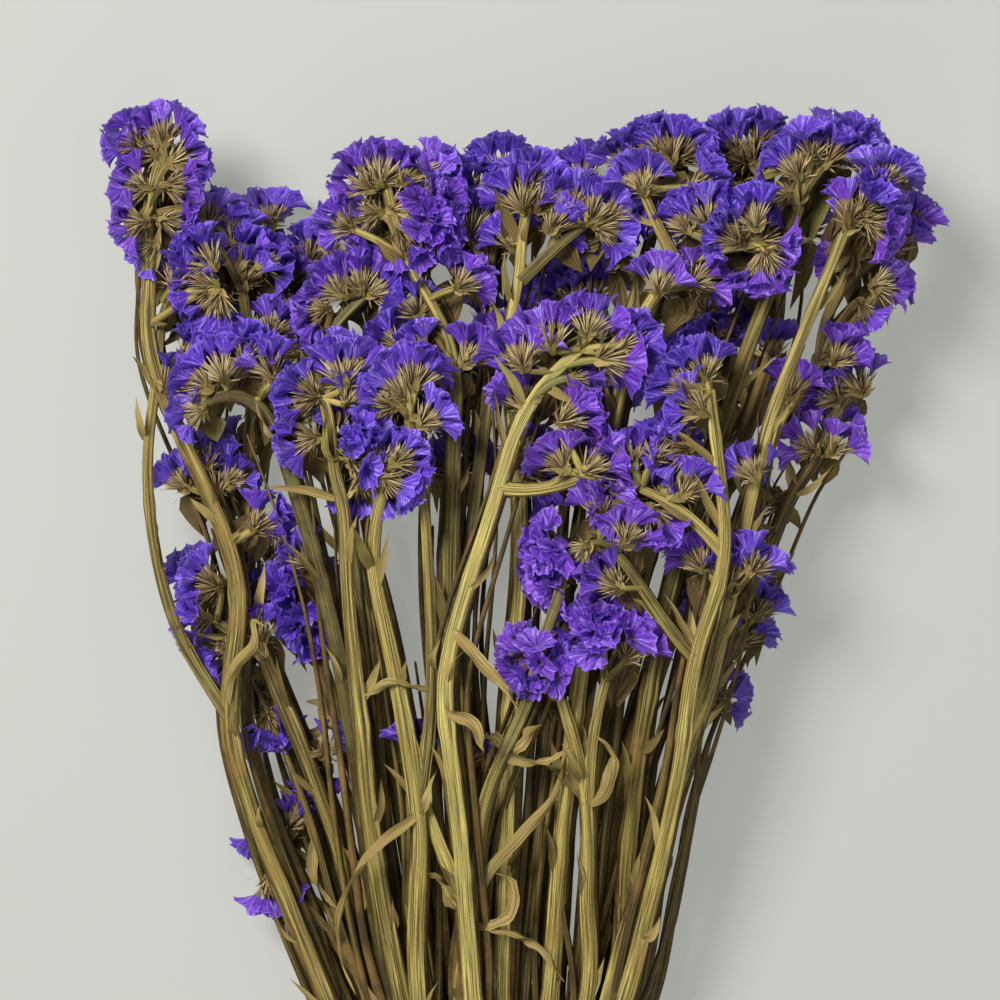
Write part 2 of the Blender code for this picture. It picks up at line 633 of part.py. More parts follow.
class HeadBuild:
    """One flower head: a straw cup of bracts on its stem, and a violet dome of florets seated on it."""

    SIDES = 4

    def __init__(self, owner, limb, twist):
        head = limb.head
        self.owner = owner
        self.head = head
        aim, tilt = math.radians(head.aim), math.radians(head.tilt)
        self.axis = np.array([math.cos(aim) * math.cos(tilt), math.sin(aim) * math.cos(tilt), math.sin(tilt)])
        size = head.size
        self.centre = limb.points[-1] + self.axis * CUP_SINK * size
        side = np.cross([0.0, 0.0, 1.0], self.axis)
        self.side = unit(side) if np.linalg.norm(side) > 0.2 else np.array([1.0, 0.0, 0.0])
        self.up = np.cross(self.axis, self.side)
        self.twist = twist
        self.ring = [self.around(k, self.centre, self.axis, CUP_RADIUS * size) for k in range(self.SIDES)]
        self.root = limb.points[0]
        inner = list(limb.points[1:-1]) or [self.centre - self.axis * CUP_BACK * size]
        if np.linalg.norm(inner[0] - self.root) < 4.0:
            self.root = inner[0] - self.axis * 4.0
        foot = self.root - unit(inner[0] - self.root) * 1.4
        self.necks = [[self.around(j, foot, unit(inner[0] - self.root), 0.95) for j in range(self.SIDES)]]
        line = [self.root] + inner + [self.centre]
        for k, point in enumerate(inner):
            tangent = unit(line[k + 2] - line[k])
            self.necks.append([self.around(j, point, tangent, HEAD_STEM_RADIUS) for j in range(self.SIDES)])
        self.top = self.centre + self.axis * (DOME_RISE * size + SEAT_GAP)
        self.bracts = [None] * self.SIDES
        self.florets = [None] * self.SIDES

    def around(self, k, centre, axis, radius):
        side = unit(self.side - axis * self.side.dot(axis))
        up = np.cross(axis, side)
        angle = 2 * math.pi * k / self.SIDES + self.twist
        return centre + (side * math.cos(angle) + up * math.sin(angle)) * radius

    def cup(self):
        """The stem and the bract cup, with a pointed bract on each side that has one."""
        n = self.SIDES
        rings = self.necks + [self.ring]
        verts = [point for ring in rings for point in ring]
        faces = [(0, k + 1, k) for k in range(1, n - 1)]
        for level in range(len(rings) - 1):
            for k in range(n):
                a, b = level * n + k, level * n + (k + 1) % n
                if level < len(rings) - 2 or self.bracts[k] is None:
                    faces += [(a, b, b + n), (a, b + n, a + n)]
                    continue
                verts.append(self.bracts[k])
                tip = len(verts) - 1
                faces += [(a, b, tip), (b, b + n, tip), (b + n, a + n, tip), (a + n, a, tip)]
        last = (len(rings) - 1) * n
        faces += [(last, last + k, last + k + 1) for k in range(1, n - 1)]
        return outward(Body(verts, faces))

    def bract_tip(self, k, reach, lean):
        corners = [self.ring[k], self.ring[(k + 1) % self.SIDES]]
        out = unit(sum(corners) / 2 - self.centre)
        base = (sum(corners) / 2 * 2 + self.centre - self.axis * CUP_BACK * self.head.size) / 3
        return base + unit(out * 1.0 + self.axis * lean) * reach * self.head.size

    def dome(self):
        """The violet dome: a pyramid, with a pleated funnel on each side that has a floret."""
        n = self.SIDES
        lift = self.axis * SEAT_GAP
        verts = [self.top] + [p + lift for p in self.ring]
        faces = [(1, k + 2, k + 1) for k in range(1, n - 1)]
        for k in range(n):
            a, b = 1 + k, 1 + (k + 1) % n
            if self.florets[k] is None:
                faces.append((0, a, b))
                continue
            rim, dip = self.florets[k]
            start = len(verts)
            verts += list(rim) + [dip]
            corners = (0, a, b)
            for j in range(3):
                p, q = corners[j], corners[(j + 1) % 3]
                r, m, s = start + 2 * j, start + 2 * j + 1, start + (2 * j + 2) % 6
                faces += [(p, q, m), (p, m, r), (q, s, m), (r, m, start + 6), (m, s, start + 6)]
        return outward(Body(verts, faces))

    def floret(self, k, scale, lean, rng):
        """The rim points and the dip of a funnel on side k, its rim crimped in three pleats."""
        lift = self.axis * SEAT_GAP
        corners = [self.top, self.ring[k] + lift, self.ring[(k + 1) % self.SIDES] + lift]
        middle = sum(corners) / 3
        out = unit((corners[1] + corners[2]) / 2 - self.centre - lift)
        facing = unit(self.axis + out * lean)
        size = self.head.size * scale
        centre = middle + facing * FLORET_REACH * size
        rim = []
        for j in range(3):
            spoke = corners[j] - middle
            spoke = unit(spoke - facing * spoke.dot(facing))
            following = corners[(j + 1) % 3] - middle
            following = unit(following - facing * following.dot(facing))
            between = unit(spoke + following)
            wave = 1.0 + rng.uniform(-0.12, 0.12)
            rim.append(centre + spoke * FLORET_RIM * size * wave + facing * rng.uniform(0.2, 1.4) * size)
            rim.append(centre + between * FLORET_RIM * 0.72 * size - facing * 0.9 * size)
        dip = centre - facing * FLORET_DIP * size
        return rim, dip


class Crowd:
    """Every piece placed so far, by group, so that a new one can be tried against those near it."""

    def __init__(self):
        self.items = []

    def add(self, body, group):
        low, high = body.points.min(0), body.points.max(0)
        self.items.append((low, high, body.tree(), group))

    def hits(self, body, skip=()):
        """The groups that the piece runs into, leaving out those in skip."""
        low, high = body.points.min(0), body.points.max(0)
        tree = None
        found = set()
        for its_low, its_high, its_tree, group in self.items:
            if group in skip or group in found:
                continue
            if (its_low > high).any() or (its_high < low).any():
                continue
            tree = tree or body.tree()
            if tree.overlap(its_tree):
                found.add(group)
        return found


def inflated(body, by):
    """The piece made a little larger about its middle, so that what clears it leaves a gap."""
    middle = body.points.mean(0)
    away = body.points - middle
    length = np.linalg.norm(away, axis=1)[:, None]
    return Body(middle + away * (1 + by / np.maximum(length, 1.0)), body.faces)


def grow_straw(sprays, rng):
    """The stalks, twigs and head stems of each spray, and the heads that stand on them."""
    straw = [[] for _ in sprays]
    heads = []
    for owner, limbs in enumerate(sprays):
        for limb in limbs:
            if hasattr(limb, "head"):
                heads.append(HeadBuild(owner, limb, rng.uniform(0, 2)))
            else:
                straw[owner].append(tube(limb.points, limb.half_width, limb.half_thickness))
    return straw, heads


def place_leaves(sprays, straw, crowd, rng):
    for owner, spray in enumerate(SPRAYS):
        count = 1 + len(spray.twigs)
        for foot, tip in spray.leaves:
            number, k = nearest(sprays[owner][:count], *foot)
            limb = sprays[owner][number].points
            span = limb[k] - limb[k - 1]
            reach = np.dot(np.array(foot) - limb[k - 1][:2], span[:2])
            share = np.clip(reach / max(span[:2].dot(span[:2]), 1), 0, 1)
            root = limb[k - 1] + span * share
            length = math.dist(foot, tip)
            for lift in (0.10, 0.22, -0.12, 0.34):
                end = root + np.array([tip[0] - foot[0], tip[1] - foot[1], lift * length])
                width = LEAF_HALF_WIDTH * min(1.2, 0.55 + length / 45)
                body = leaf(root, end, width, 0.10 * length, rng.uniform(-0.5, 0.5))
                if not crowd.hits(body, (("straw", owner),)):
                    straw[owner].append(body)
                    crowd.add(body, ("straw", owner))
                    break


def place_florets(heads, crowd, rng):
    """Gives each dome as many florets as its size asks for, turned or made smaller where straw is near."""
    for head in heads:
        head.bare = bool(crowd.hits(head.dome()))
        wanted = 0 if head.bare else 3 if head.head.size >= 1.1 else 2
        order = sorted(range(head.SIDES), key=lambda k: -head.ring[k][2] - head.ring[(k + 1) % head.SIDES][2])
        for k in [order[0], order[2], order[1], order[3]]:
            if wanted == 0:
                break
            for scale, lean in ((1.0, 0.75), (0.9, 0.35), (0.75, 0.9), (0.6, 0.5)):
                head.florets[k] = head.floret(k, scale, lean, rng)
                if not crowd.hits(head.dome()):
                    wanted -= 1
                    break
                head.florets[k] = None


def place_bracts(heads, crowd, rng):
    """Gives each cup its bracts, shorter where a floret or another spray is near."""
    for head in heads:
        for k in range(head.SIDES):
            for reach, lean in ((1.0, 0.75), (0.8, 0.3), (0.6, 0.0), (0.35, 0.0)):
                head.bracts[k] = head.bract_tip(k, BRACT_REACH * reach * rng.uniform(0.9, 1.1), lean)
                if not crowd.hits(head.cup(), (("straw", head.owner),)):
                    break
                head.bracts[k] = None
        crowd.add(head.cup(), ("straw", head.owner))


def crosses_itself(body):
    """Whether an edge of a closed piece passes through one of its faces that it isn't part of."""
    edges = {tuple(sorted((face[k], face[(k + 1) % 3]))) for face in body.faces for k in range(3)}
    for a, b in edges:
        start, run = body.points[a], body.points[b] - body.points[a]
        for face in body.faces:
            if a in face or b in face:
                continue
            p, q, r = body.points[list(face)]
            matrix = np.array([-run, q - p, r - p]).T
            if abs(np.linalg.det(matrix)) < 1e-9:
                continue
            along, u, v = np.linalg.solve(matrix, start - p)
            if 0 <= along <= 1 and u >= 0 and v >= 0 and u + v <= 1:
                return True
    return False


def unfold(heads):
    """Takes away a floret or a bract that would pass through its neighbour on the same head."""
    for head in heads:
        for parts, shape in ((head.florets, head.dome), (head.bracts, head.cup)):
            for k in range(head.SIDES):
                if parts[k] is None or not crosses_itself(shape()):
                    continue
                kept, parts[k] = parts[k], None
                if crosses_itself(shape()) and any(part is not None for part in parts):
                    parts[k] = kept
            for k in range(head.SIDES):
                if parts[k] is not None and crosses_itself(shape()):
                    parts[k] = None


class Groups:
    """Which domes have been joined to which."""

    def __init__(self, count):
        self.parent = list(range(count))

    def find(self, i):
        while self.parent[i] != i:
            i = self.parent[i]
        return i

    def join(self, i, j):
        self.parent[self.find(i)] = self.find(j)

    def count(self):
        return len({self.find(i) for i in range(len(self.parent))})


def gather_masses(heads, straw_crowd):
    """Joins the domes that touch or stand side by side into masses, by thin bridges under the florets."""
    groups = Groups(len(heads))
    domes = [head.dome() for head in heads]
    violet = Crowd()
    bare = [not any(head.florets) for head in heads]
    for number, dome in enumerate(domes):
        if bare[number]:
            continue
        for other in violet.hits(dome):
            groups.join(number, other)
        violet.add(dome, number)
    pairs = []
    for i, a in enumerate(heads):
        for j in range(i + 1, len(heads)):
            away = float(np.linalg.norm(a.centre - heads[j].centre))
            if away < BRIDGE_REACH and not bare[i] and not bare[j]:
                pairs.append((away + (6 if a.owner != heads[j].owner else 0), i, j))
    bridges = []
    for _, i, j in sorted(pairs):
        if groups.find(i) == groups.find(j) or groups.count() - sum(bare) <= MOST_MASSES:
            continue
        a, b = heads[i], heads[j]
        start = a.centre + a.axis * 2.0
        end = b.centre + b.axis * 2.0
        for bulge in (2.0, 5.0, 8.0, 11.0, -1.0):
            middle = (start + end) / 2 + (a.axis + b.axis) * bulge
            body = tube([start, middle, end], [BRIDGE_RADIUS] * 3, [BRIDGE_RADIUS] * 3, 3)
            if straw_crowd.hits(inflated(body, 0.15)):
                continue
            for other in violet.hits(body):
                groups.join(i, other)
            groups.join(i, j)
            violet.add(body, i)
            bridges.append((i, body))
            break
    return groups, domes, bridges, violet


def lower(bodies):
    """Lets the flowering part down until it rests at its left and at its right as well as on the binding."""
    points = np.vstack([body.points for body in bodies])
    high = points[points[:, 1] > 120]
    left = high[high[:, 0] < -35]
    right = high[high[:, 0] > 35]
    low_left, low_right = left[left[:, 2].argmin()], right[right[:, 2].argmin()]
    slope = (low_right[2] - low_left[2]) / (low_right[0] - low_left[0])
    drop = low_left[2] - slope * low_left[0] + REST_FLAT
    print("lowest", low_left.round(1), low_right.round(1), "slope", round(slope, 4), "drop", round(drop, 2))
    for body in bodies:
        share = np.clip((body.points[:, 1] + 130.0) / 250.0, 0, 1)
        share = share * share * (3 - 2 * share)
        body.points[:, 2] -= share * (drop + slope * body.points[:, 0])


def put(body, name, collection):
    mesh = bpy.data.meshes.new(name)
    mesh.from_pydata([tuple(p * MM) for p in body.points], [], body.faces)
    obj = bpy.data.objects.new(name, mesh)
    collection.objects.link(obj)
    return obj


def boolean(obj, operation, bodies, solver):
    """Joins the bodies to the object, or cuts them from it, with one Boolean on a collection."""
    collection = bpy.data.collections.new("repeats")
    bpy.context.scene.collection.children.link(collection)
    for number, body in enumerate(bodies):
        put(body, f"repeat_{number}", collection)
    modifier = obj.modifiers.new("join", "BOOLEAN")
    modifier.operation = operation
    modifier.operand_type = "COLLECTION"
    modifier.solver = solver
    modifier.collection = collection
    bpy.context.view_layer.objects.active = obj
    bpy.ops.object.modifier_apply(modifier=modifier.name)
    for repeat in list(collection.objects):
        bpy.data.objects.remove(repeat)
    bpy.data.collections.remove(collection)


def keep_main_body(obj, flatten=True):
    """Welds what the joining left and keeps the largest closed body: no scraps and no sealed hollows."""
    work = bmesh.new()
    work.from_mesh(obj.data)
    bmesh.ops.triangulate(work, faces=work.faces[:])
    if flatten:
        bmesh.ops.remove_doubles(work, verts=work.verts[:], dist=0.002 * MM)
        bmesh.ops.dissolve_degenerate(work, edges=work.edges[:], dist=0.002 * MM)
        flat = math.radians(0.05)
        bmesh.ops.dissolve_limit(work, angle_limit=flat, verts=work.verts[:], edges=work.edges[:])
    bmesh.ops.triangulate(work, faces=work.faces[:])
    left = set(work.faces)
    shells = []
    while left:
        shell = {left.pop()}
        edge = list(shell)
        while edge:
            for link in edge.pop().edges:
                for face in link.link_faces:
                    if face not in shell:
                        shell.add(face)
                        edge.append(face)
        left -= shell
        shells.append(shell)
    shells.sort(key=shell_volume, reverse=True)
    lost = [len(shell) for shell in shells[1:] if len(shell) > 20]
    bmesh.ops.delete(work, geom=[face for shell in shells[1:] for face in shell], context="FACES")
    clean = all(len(link.link_faces) == 2 for link in work.edges)
    work.to_mesh(obj.data)
    work.free()
    return clean, lost


def shell_volume(shell):
    total = 0.0
    for face in shell:
        a, b, c = (v.co for v in face.verts[:3])
        total += a.dot(b.cross(c)) / 6
    return total


def make_node(name, bodies, colour, roughness):
    """One closed solid of the bodies, in its own material, cut flat where it rests on the surface."""
    tries = (("EXACT", True), ("MANIFOLD", True), ("MANIFOLD", False), ("EXACT", True), ("EXACT", False))
    nudge = np.random.default_rng(3)
    for number, (solver, flatten) in enumerate(tries):
        if number == 3:
            bodies = [Body(body.points + nudge.normal(0, 0.04, 3), body.faces) for body in bodies]
        obj = put(bodies[0], name, bpy.context.scene.collection)
        if len(bodies) > 1:
            boolean(obj, "UNION", bodies[1:], solver)
        clean, lost = keep_main_body(obj, flatten)
        lowest = min(vert.co.z for vert in obj.data.vertices)
        if lowest < 0:
            outline = ((-300, -300), (300, -300), (300, 500), (-300, 500))
            block = [(x, y, z) for z in (-60.0, 0.0) for x, y in outline]
            sides = [(0, 3, 2, 1), (4, 5, 6, 7), (0, 1, 5, 4), (1, 2, 6, 5), (2, 3, 7, 6), (3, 0, 4, 7)]
            boolean(obj, "DIFFERENCE", [Body(block, sides)], solver)
            clean, lost = keep_main_body(obj, flatten)
        if clean:
            break
        print(name, "is not closed with", solver, flatten)
        if number < len(tries) - 1:
            bpy.data.objects.remove(obj)
    scraps = lost
    material = bpy.data.materials.new(name)
    material.use_nodes = True
    shader = material.node_tree.nodes["Principled BSDF"]
    shader.inputs["Base Color"].default_value = (*colour, 1.0)
    shader.inputs["Roughness"].default_value = roughness
    obj.data.materials.append(material)
    print(name, len(obj.data.polygons), "triangles", "scraps", scraps)
    return obj


def bound_outline(places, reach):
    """The line that a cord drawn tight round the bound stalks follows, in x and z."""
    centres = np.array([places[i] for i in sorted(places)])
    points = []
    for k in range(12):
        angle = math.pi / 6 * (k + 0.5)
        way = np.array([math.cos(angle), math.sin(angle)])
        points.append(centres[np.argmax(centres @ way)] + way * reach)
    return points


def twine(places):
    """Two turns of cord drawn tight round the bound stalks, with its knot and two short ends on top."""
    outline = bound_outline(places, FOOT_RADIUS + SEAT_GAP + TWINE_RADIUS)
    middle = np.mean(outline, axis=0)
    bodies = []
    for turn in range(TWINE_TURNS):
        y = TIE_Y + (turn - (TWINE_TURNS - 1) / 2) * TWINE_RADIUS * 1.8
        verts, faces = [], []
        for x, z in outline:
            out = unit(np.array([x, z]) - middle)
            for j in range(5):
                angle = 2 * math.pi * j / 5
                r = TWINE_RADIUS * math.cos(angle)
                verts.append((x + out[0] * r, y + TWINE_RADIUS * math.sin(angle), z + out[1] * r))
        for k in range(12):
            for j in range(5):
                a, b = k * 5 + j, k * 5 + (j + 1) % 5
                c, d = (k + 1) % 12 * 5 + j, (k + 1) % 12 * 5 + (j + 1) % 5
                faces += [(a, b, d), (a, d, c)]
        bodies.append(outward(Body(verts, faces)))
    top = max(z for _, z in outline)
    knot = np.array([3.0, TIE_Y, top + 1.0])
    bodies.append(tube([knot - [4, 1, 0], knot, knot + [4, 1, 0]], [1.2, 2.6, 1.2], [1.2, 2.2, 1.2]))
    for way in (-1, 1):
        end = knot + np.array([way * 13.0, 9.0 * way, 1.0])
        bodies.append(tube([knot, (knot + end) / 2 + [0, 0, 1.0], end], [1.2] * 3, [1.2] * 3))
    return bodies


def centre_all():
    """Moves the bunch so that the origin is the middle of its outline, on the surface."""
    objects = list(bpy.context.scene.collection.objects)
    spots = np.array([vert.co[:] for obj in objects for vert in obj.data.vertices])
    middle = (spots.min(0) + spots.max(0)) / 2
    print("shift", (middle / MM).round(4))
    for obj in objects:
        for vert in obj.data.vertices:
            vert.co.x -= middle[0]
            vert.co.y -= middle[1]


def main():
    clear_scene()
    rng = np.random.default_rng(11)
    sprays = skeleton()
    print("settled to", round(settle(sprays), 3), "mm")
    straw, heads = grow_straw(sprays, rng)
    crowd = Crowd()
    for owner, bodies in enumerate(straw):
        for body in bodies:
            crowd.add(body, ("straw", owner))
    for head in heads:
        crowd.add(head.cup(), ("straw", head.owner))
    place_leaves(sprays, straw, crowd, rng)
    place_florets(heads, crowd, rng)
    unfold(heads)
    groups, domes, bridges, violet = gather_masses(heads, crowd)
    for item in violet.items:
        crowd.items.append(item)
    place_bracts(heads, crowd, rng)
    unfold(heads)
    for head in heads:
        straw[head.owner].append(head.cup())
    lower([body for bodies in straw for body in bodies] + domes + [body for _, body in bridges])
    print(len(heads), "heads", groups.count(), "masses", len(bridges), "bridges")
    print("florets", sum(f is not None for h in heads for f in h.florets))
    print("bracts", sum(b is not None for h in heads for b in h.bracts))
    for owner, spray in enumerate(SPRAYS):
        make_node(spray.name, straw[owner], STRAWS[owner % 3], 0.85)
    masses = {}
    for number, dome in enumerate(domes):
        if not any(heads[number].florets):
            continue
        masses.setdefault(groups.find(number), []).append(dome)
    for number, bridge in bridges:
        masses[groups.find(number)].append(bridge)
    for number, root in enumerate(sorted(masses, key=lambda r: -len(masses[r]))[:MOST_MASSES]):
        make_node(f"florets_{number + 1:02d}", masses[root], VIOLETS[number % 3], 0.7)
    make_node("twine", twine(cells()), JUTE, 0.9)
    centre_all()


main()
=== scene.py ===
"""The look of a bunch of dried statice lying on a pale surface, seen from above as in the photograph.

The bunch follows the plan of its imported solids: the same stalks, twigs and flower heads stand in the same
places, and each is made again here in fine detail. Stalks get wings, ribs and joints; heads get their
brush of narrow bracts and their crimped papery calyces; joints get their twisted dry leaves. Lengths in
the plan and in the builders are millimetres, and only a finished mesh is turned into metres.
"""

import json
import logging
import math
from dataclasses import dataclass, field
from enum import Enum

import bpy
import numpy as np
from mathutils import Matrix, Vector

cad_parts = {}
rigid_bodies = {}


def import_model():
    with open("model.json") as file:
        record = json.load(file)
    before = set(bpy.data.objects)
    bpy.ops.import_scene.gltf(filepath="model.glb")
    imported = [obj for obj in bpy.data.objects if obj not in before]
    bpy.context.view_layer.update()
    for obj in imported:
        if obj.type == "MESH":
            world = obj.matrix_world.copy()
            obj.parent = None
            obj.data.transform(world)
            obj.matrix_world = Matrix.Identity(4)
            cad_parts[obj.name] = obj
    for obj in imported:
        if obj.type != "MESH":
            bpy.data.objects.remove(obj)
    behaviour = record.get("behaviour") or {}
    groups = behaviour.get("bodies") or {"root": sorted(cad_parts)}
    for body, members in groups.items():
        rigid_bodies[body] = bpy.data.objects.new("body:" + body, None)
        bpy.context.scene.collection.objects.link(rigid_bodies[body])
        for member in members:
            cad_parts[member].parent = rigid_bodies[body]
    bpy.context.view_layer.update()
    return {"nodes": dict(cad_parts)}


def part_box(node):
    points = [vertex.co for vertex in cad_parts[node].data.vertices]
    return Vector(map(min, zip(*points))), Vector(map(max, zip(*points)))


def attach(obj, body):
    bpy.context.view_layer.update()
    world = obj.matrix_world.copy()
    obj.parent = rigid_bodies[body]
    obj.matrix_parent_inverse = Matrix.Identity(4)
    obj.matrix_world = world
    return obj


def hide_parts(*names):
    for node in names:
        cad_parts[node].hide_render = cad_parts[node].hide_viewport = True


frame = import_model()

logging.basicConfig(level=logging.INFO, format="%(message)s")
log = logging.getLogger("statice")

Point = tuple[float, float]
Array = np.ndarray

MM = 0.001
# Where the plan's origin lies in the row's frame, and how far the heads are let down, more to one side
SHIFT_X = 7.4944
SHIFT_Y = 70.1093
DROP = 17.68
SLOPE = -0.0213
DROP_FROM_Y = -130.0

# Stalks and twigs
STALK_HALF_WIDTH = 3.1
STALK_HALF_THICKNESS = 1.9
TWIG_HALF_WIDTH = 1.6
TWIG_HALF_THICKNESS = 1.2
TIP_SHARE = 0.62
STALK_STEP = 42.0
TWIG_STEP = 16.0
THIN_SIDES = (-1.0, 1.0, 0.4, -0.5)

# How the stalks rise from the tie to the depth of their heads
BLEND_Y = -70.0
BLEND_CLIMB = 0.07
CLIMB_FROM_Y = -90.0
CLIMB_OVER = 250.0

# The bound part: stalks in rows, cut off below the tie
FOOT_RADIUS = 3.3
CELL = 7.2
ROW_RISE = CELL * math.sqrt(3) / 2
ROWS = (3, 4, 5, 4, 5, 4, 3)
TIE_Y = -160.0
CUT_Y = -212.0
CUT_STEP = 5.0
CELL_TOP_Y = -140.0
SEAT_GAP = 0.3
CLEARANCE = 0.5
TWINE_RADIUS = 1.3
TWINE_TURNS = 2
TWINE_PRESS = 0.5

# Heads and leaves
HEAD_DEPTH_LIFT = 2.0
HEAD_SPACING = 15.5
FILL_IN_SPACING = 8.0
ABOVE_PENALTY = 25
CUP_RADIUS = 4.0
CUP_BACK = 5.0
CUP_SINK = 2.2
BRISTLES = 62
OUTER_BRISTLES = 8
HAIRS = 22
LONG_LEAF = 36.0

# The most that an angle is drawn at, and the turn from one direction of a fan to the next
TURN = 6.28
FAN_TURN = 2.39996

# The height under which pieces are pressed flat instead of sinking into the surface
PRESS = 0.6


@dataclass(frozen=True)
class Head:
    """A flower head: place in the plan, the way it faces, its lean to the viewer, size."""

    x: float
    y: float
    aim: float
    tilt: float
    size: float = 1.0


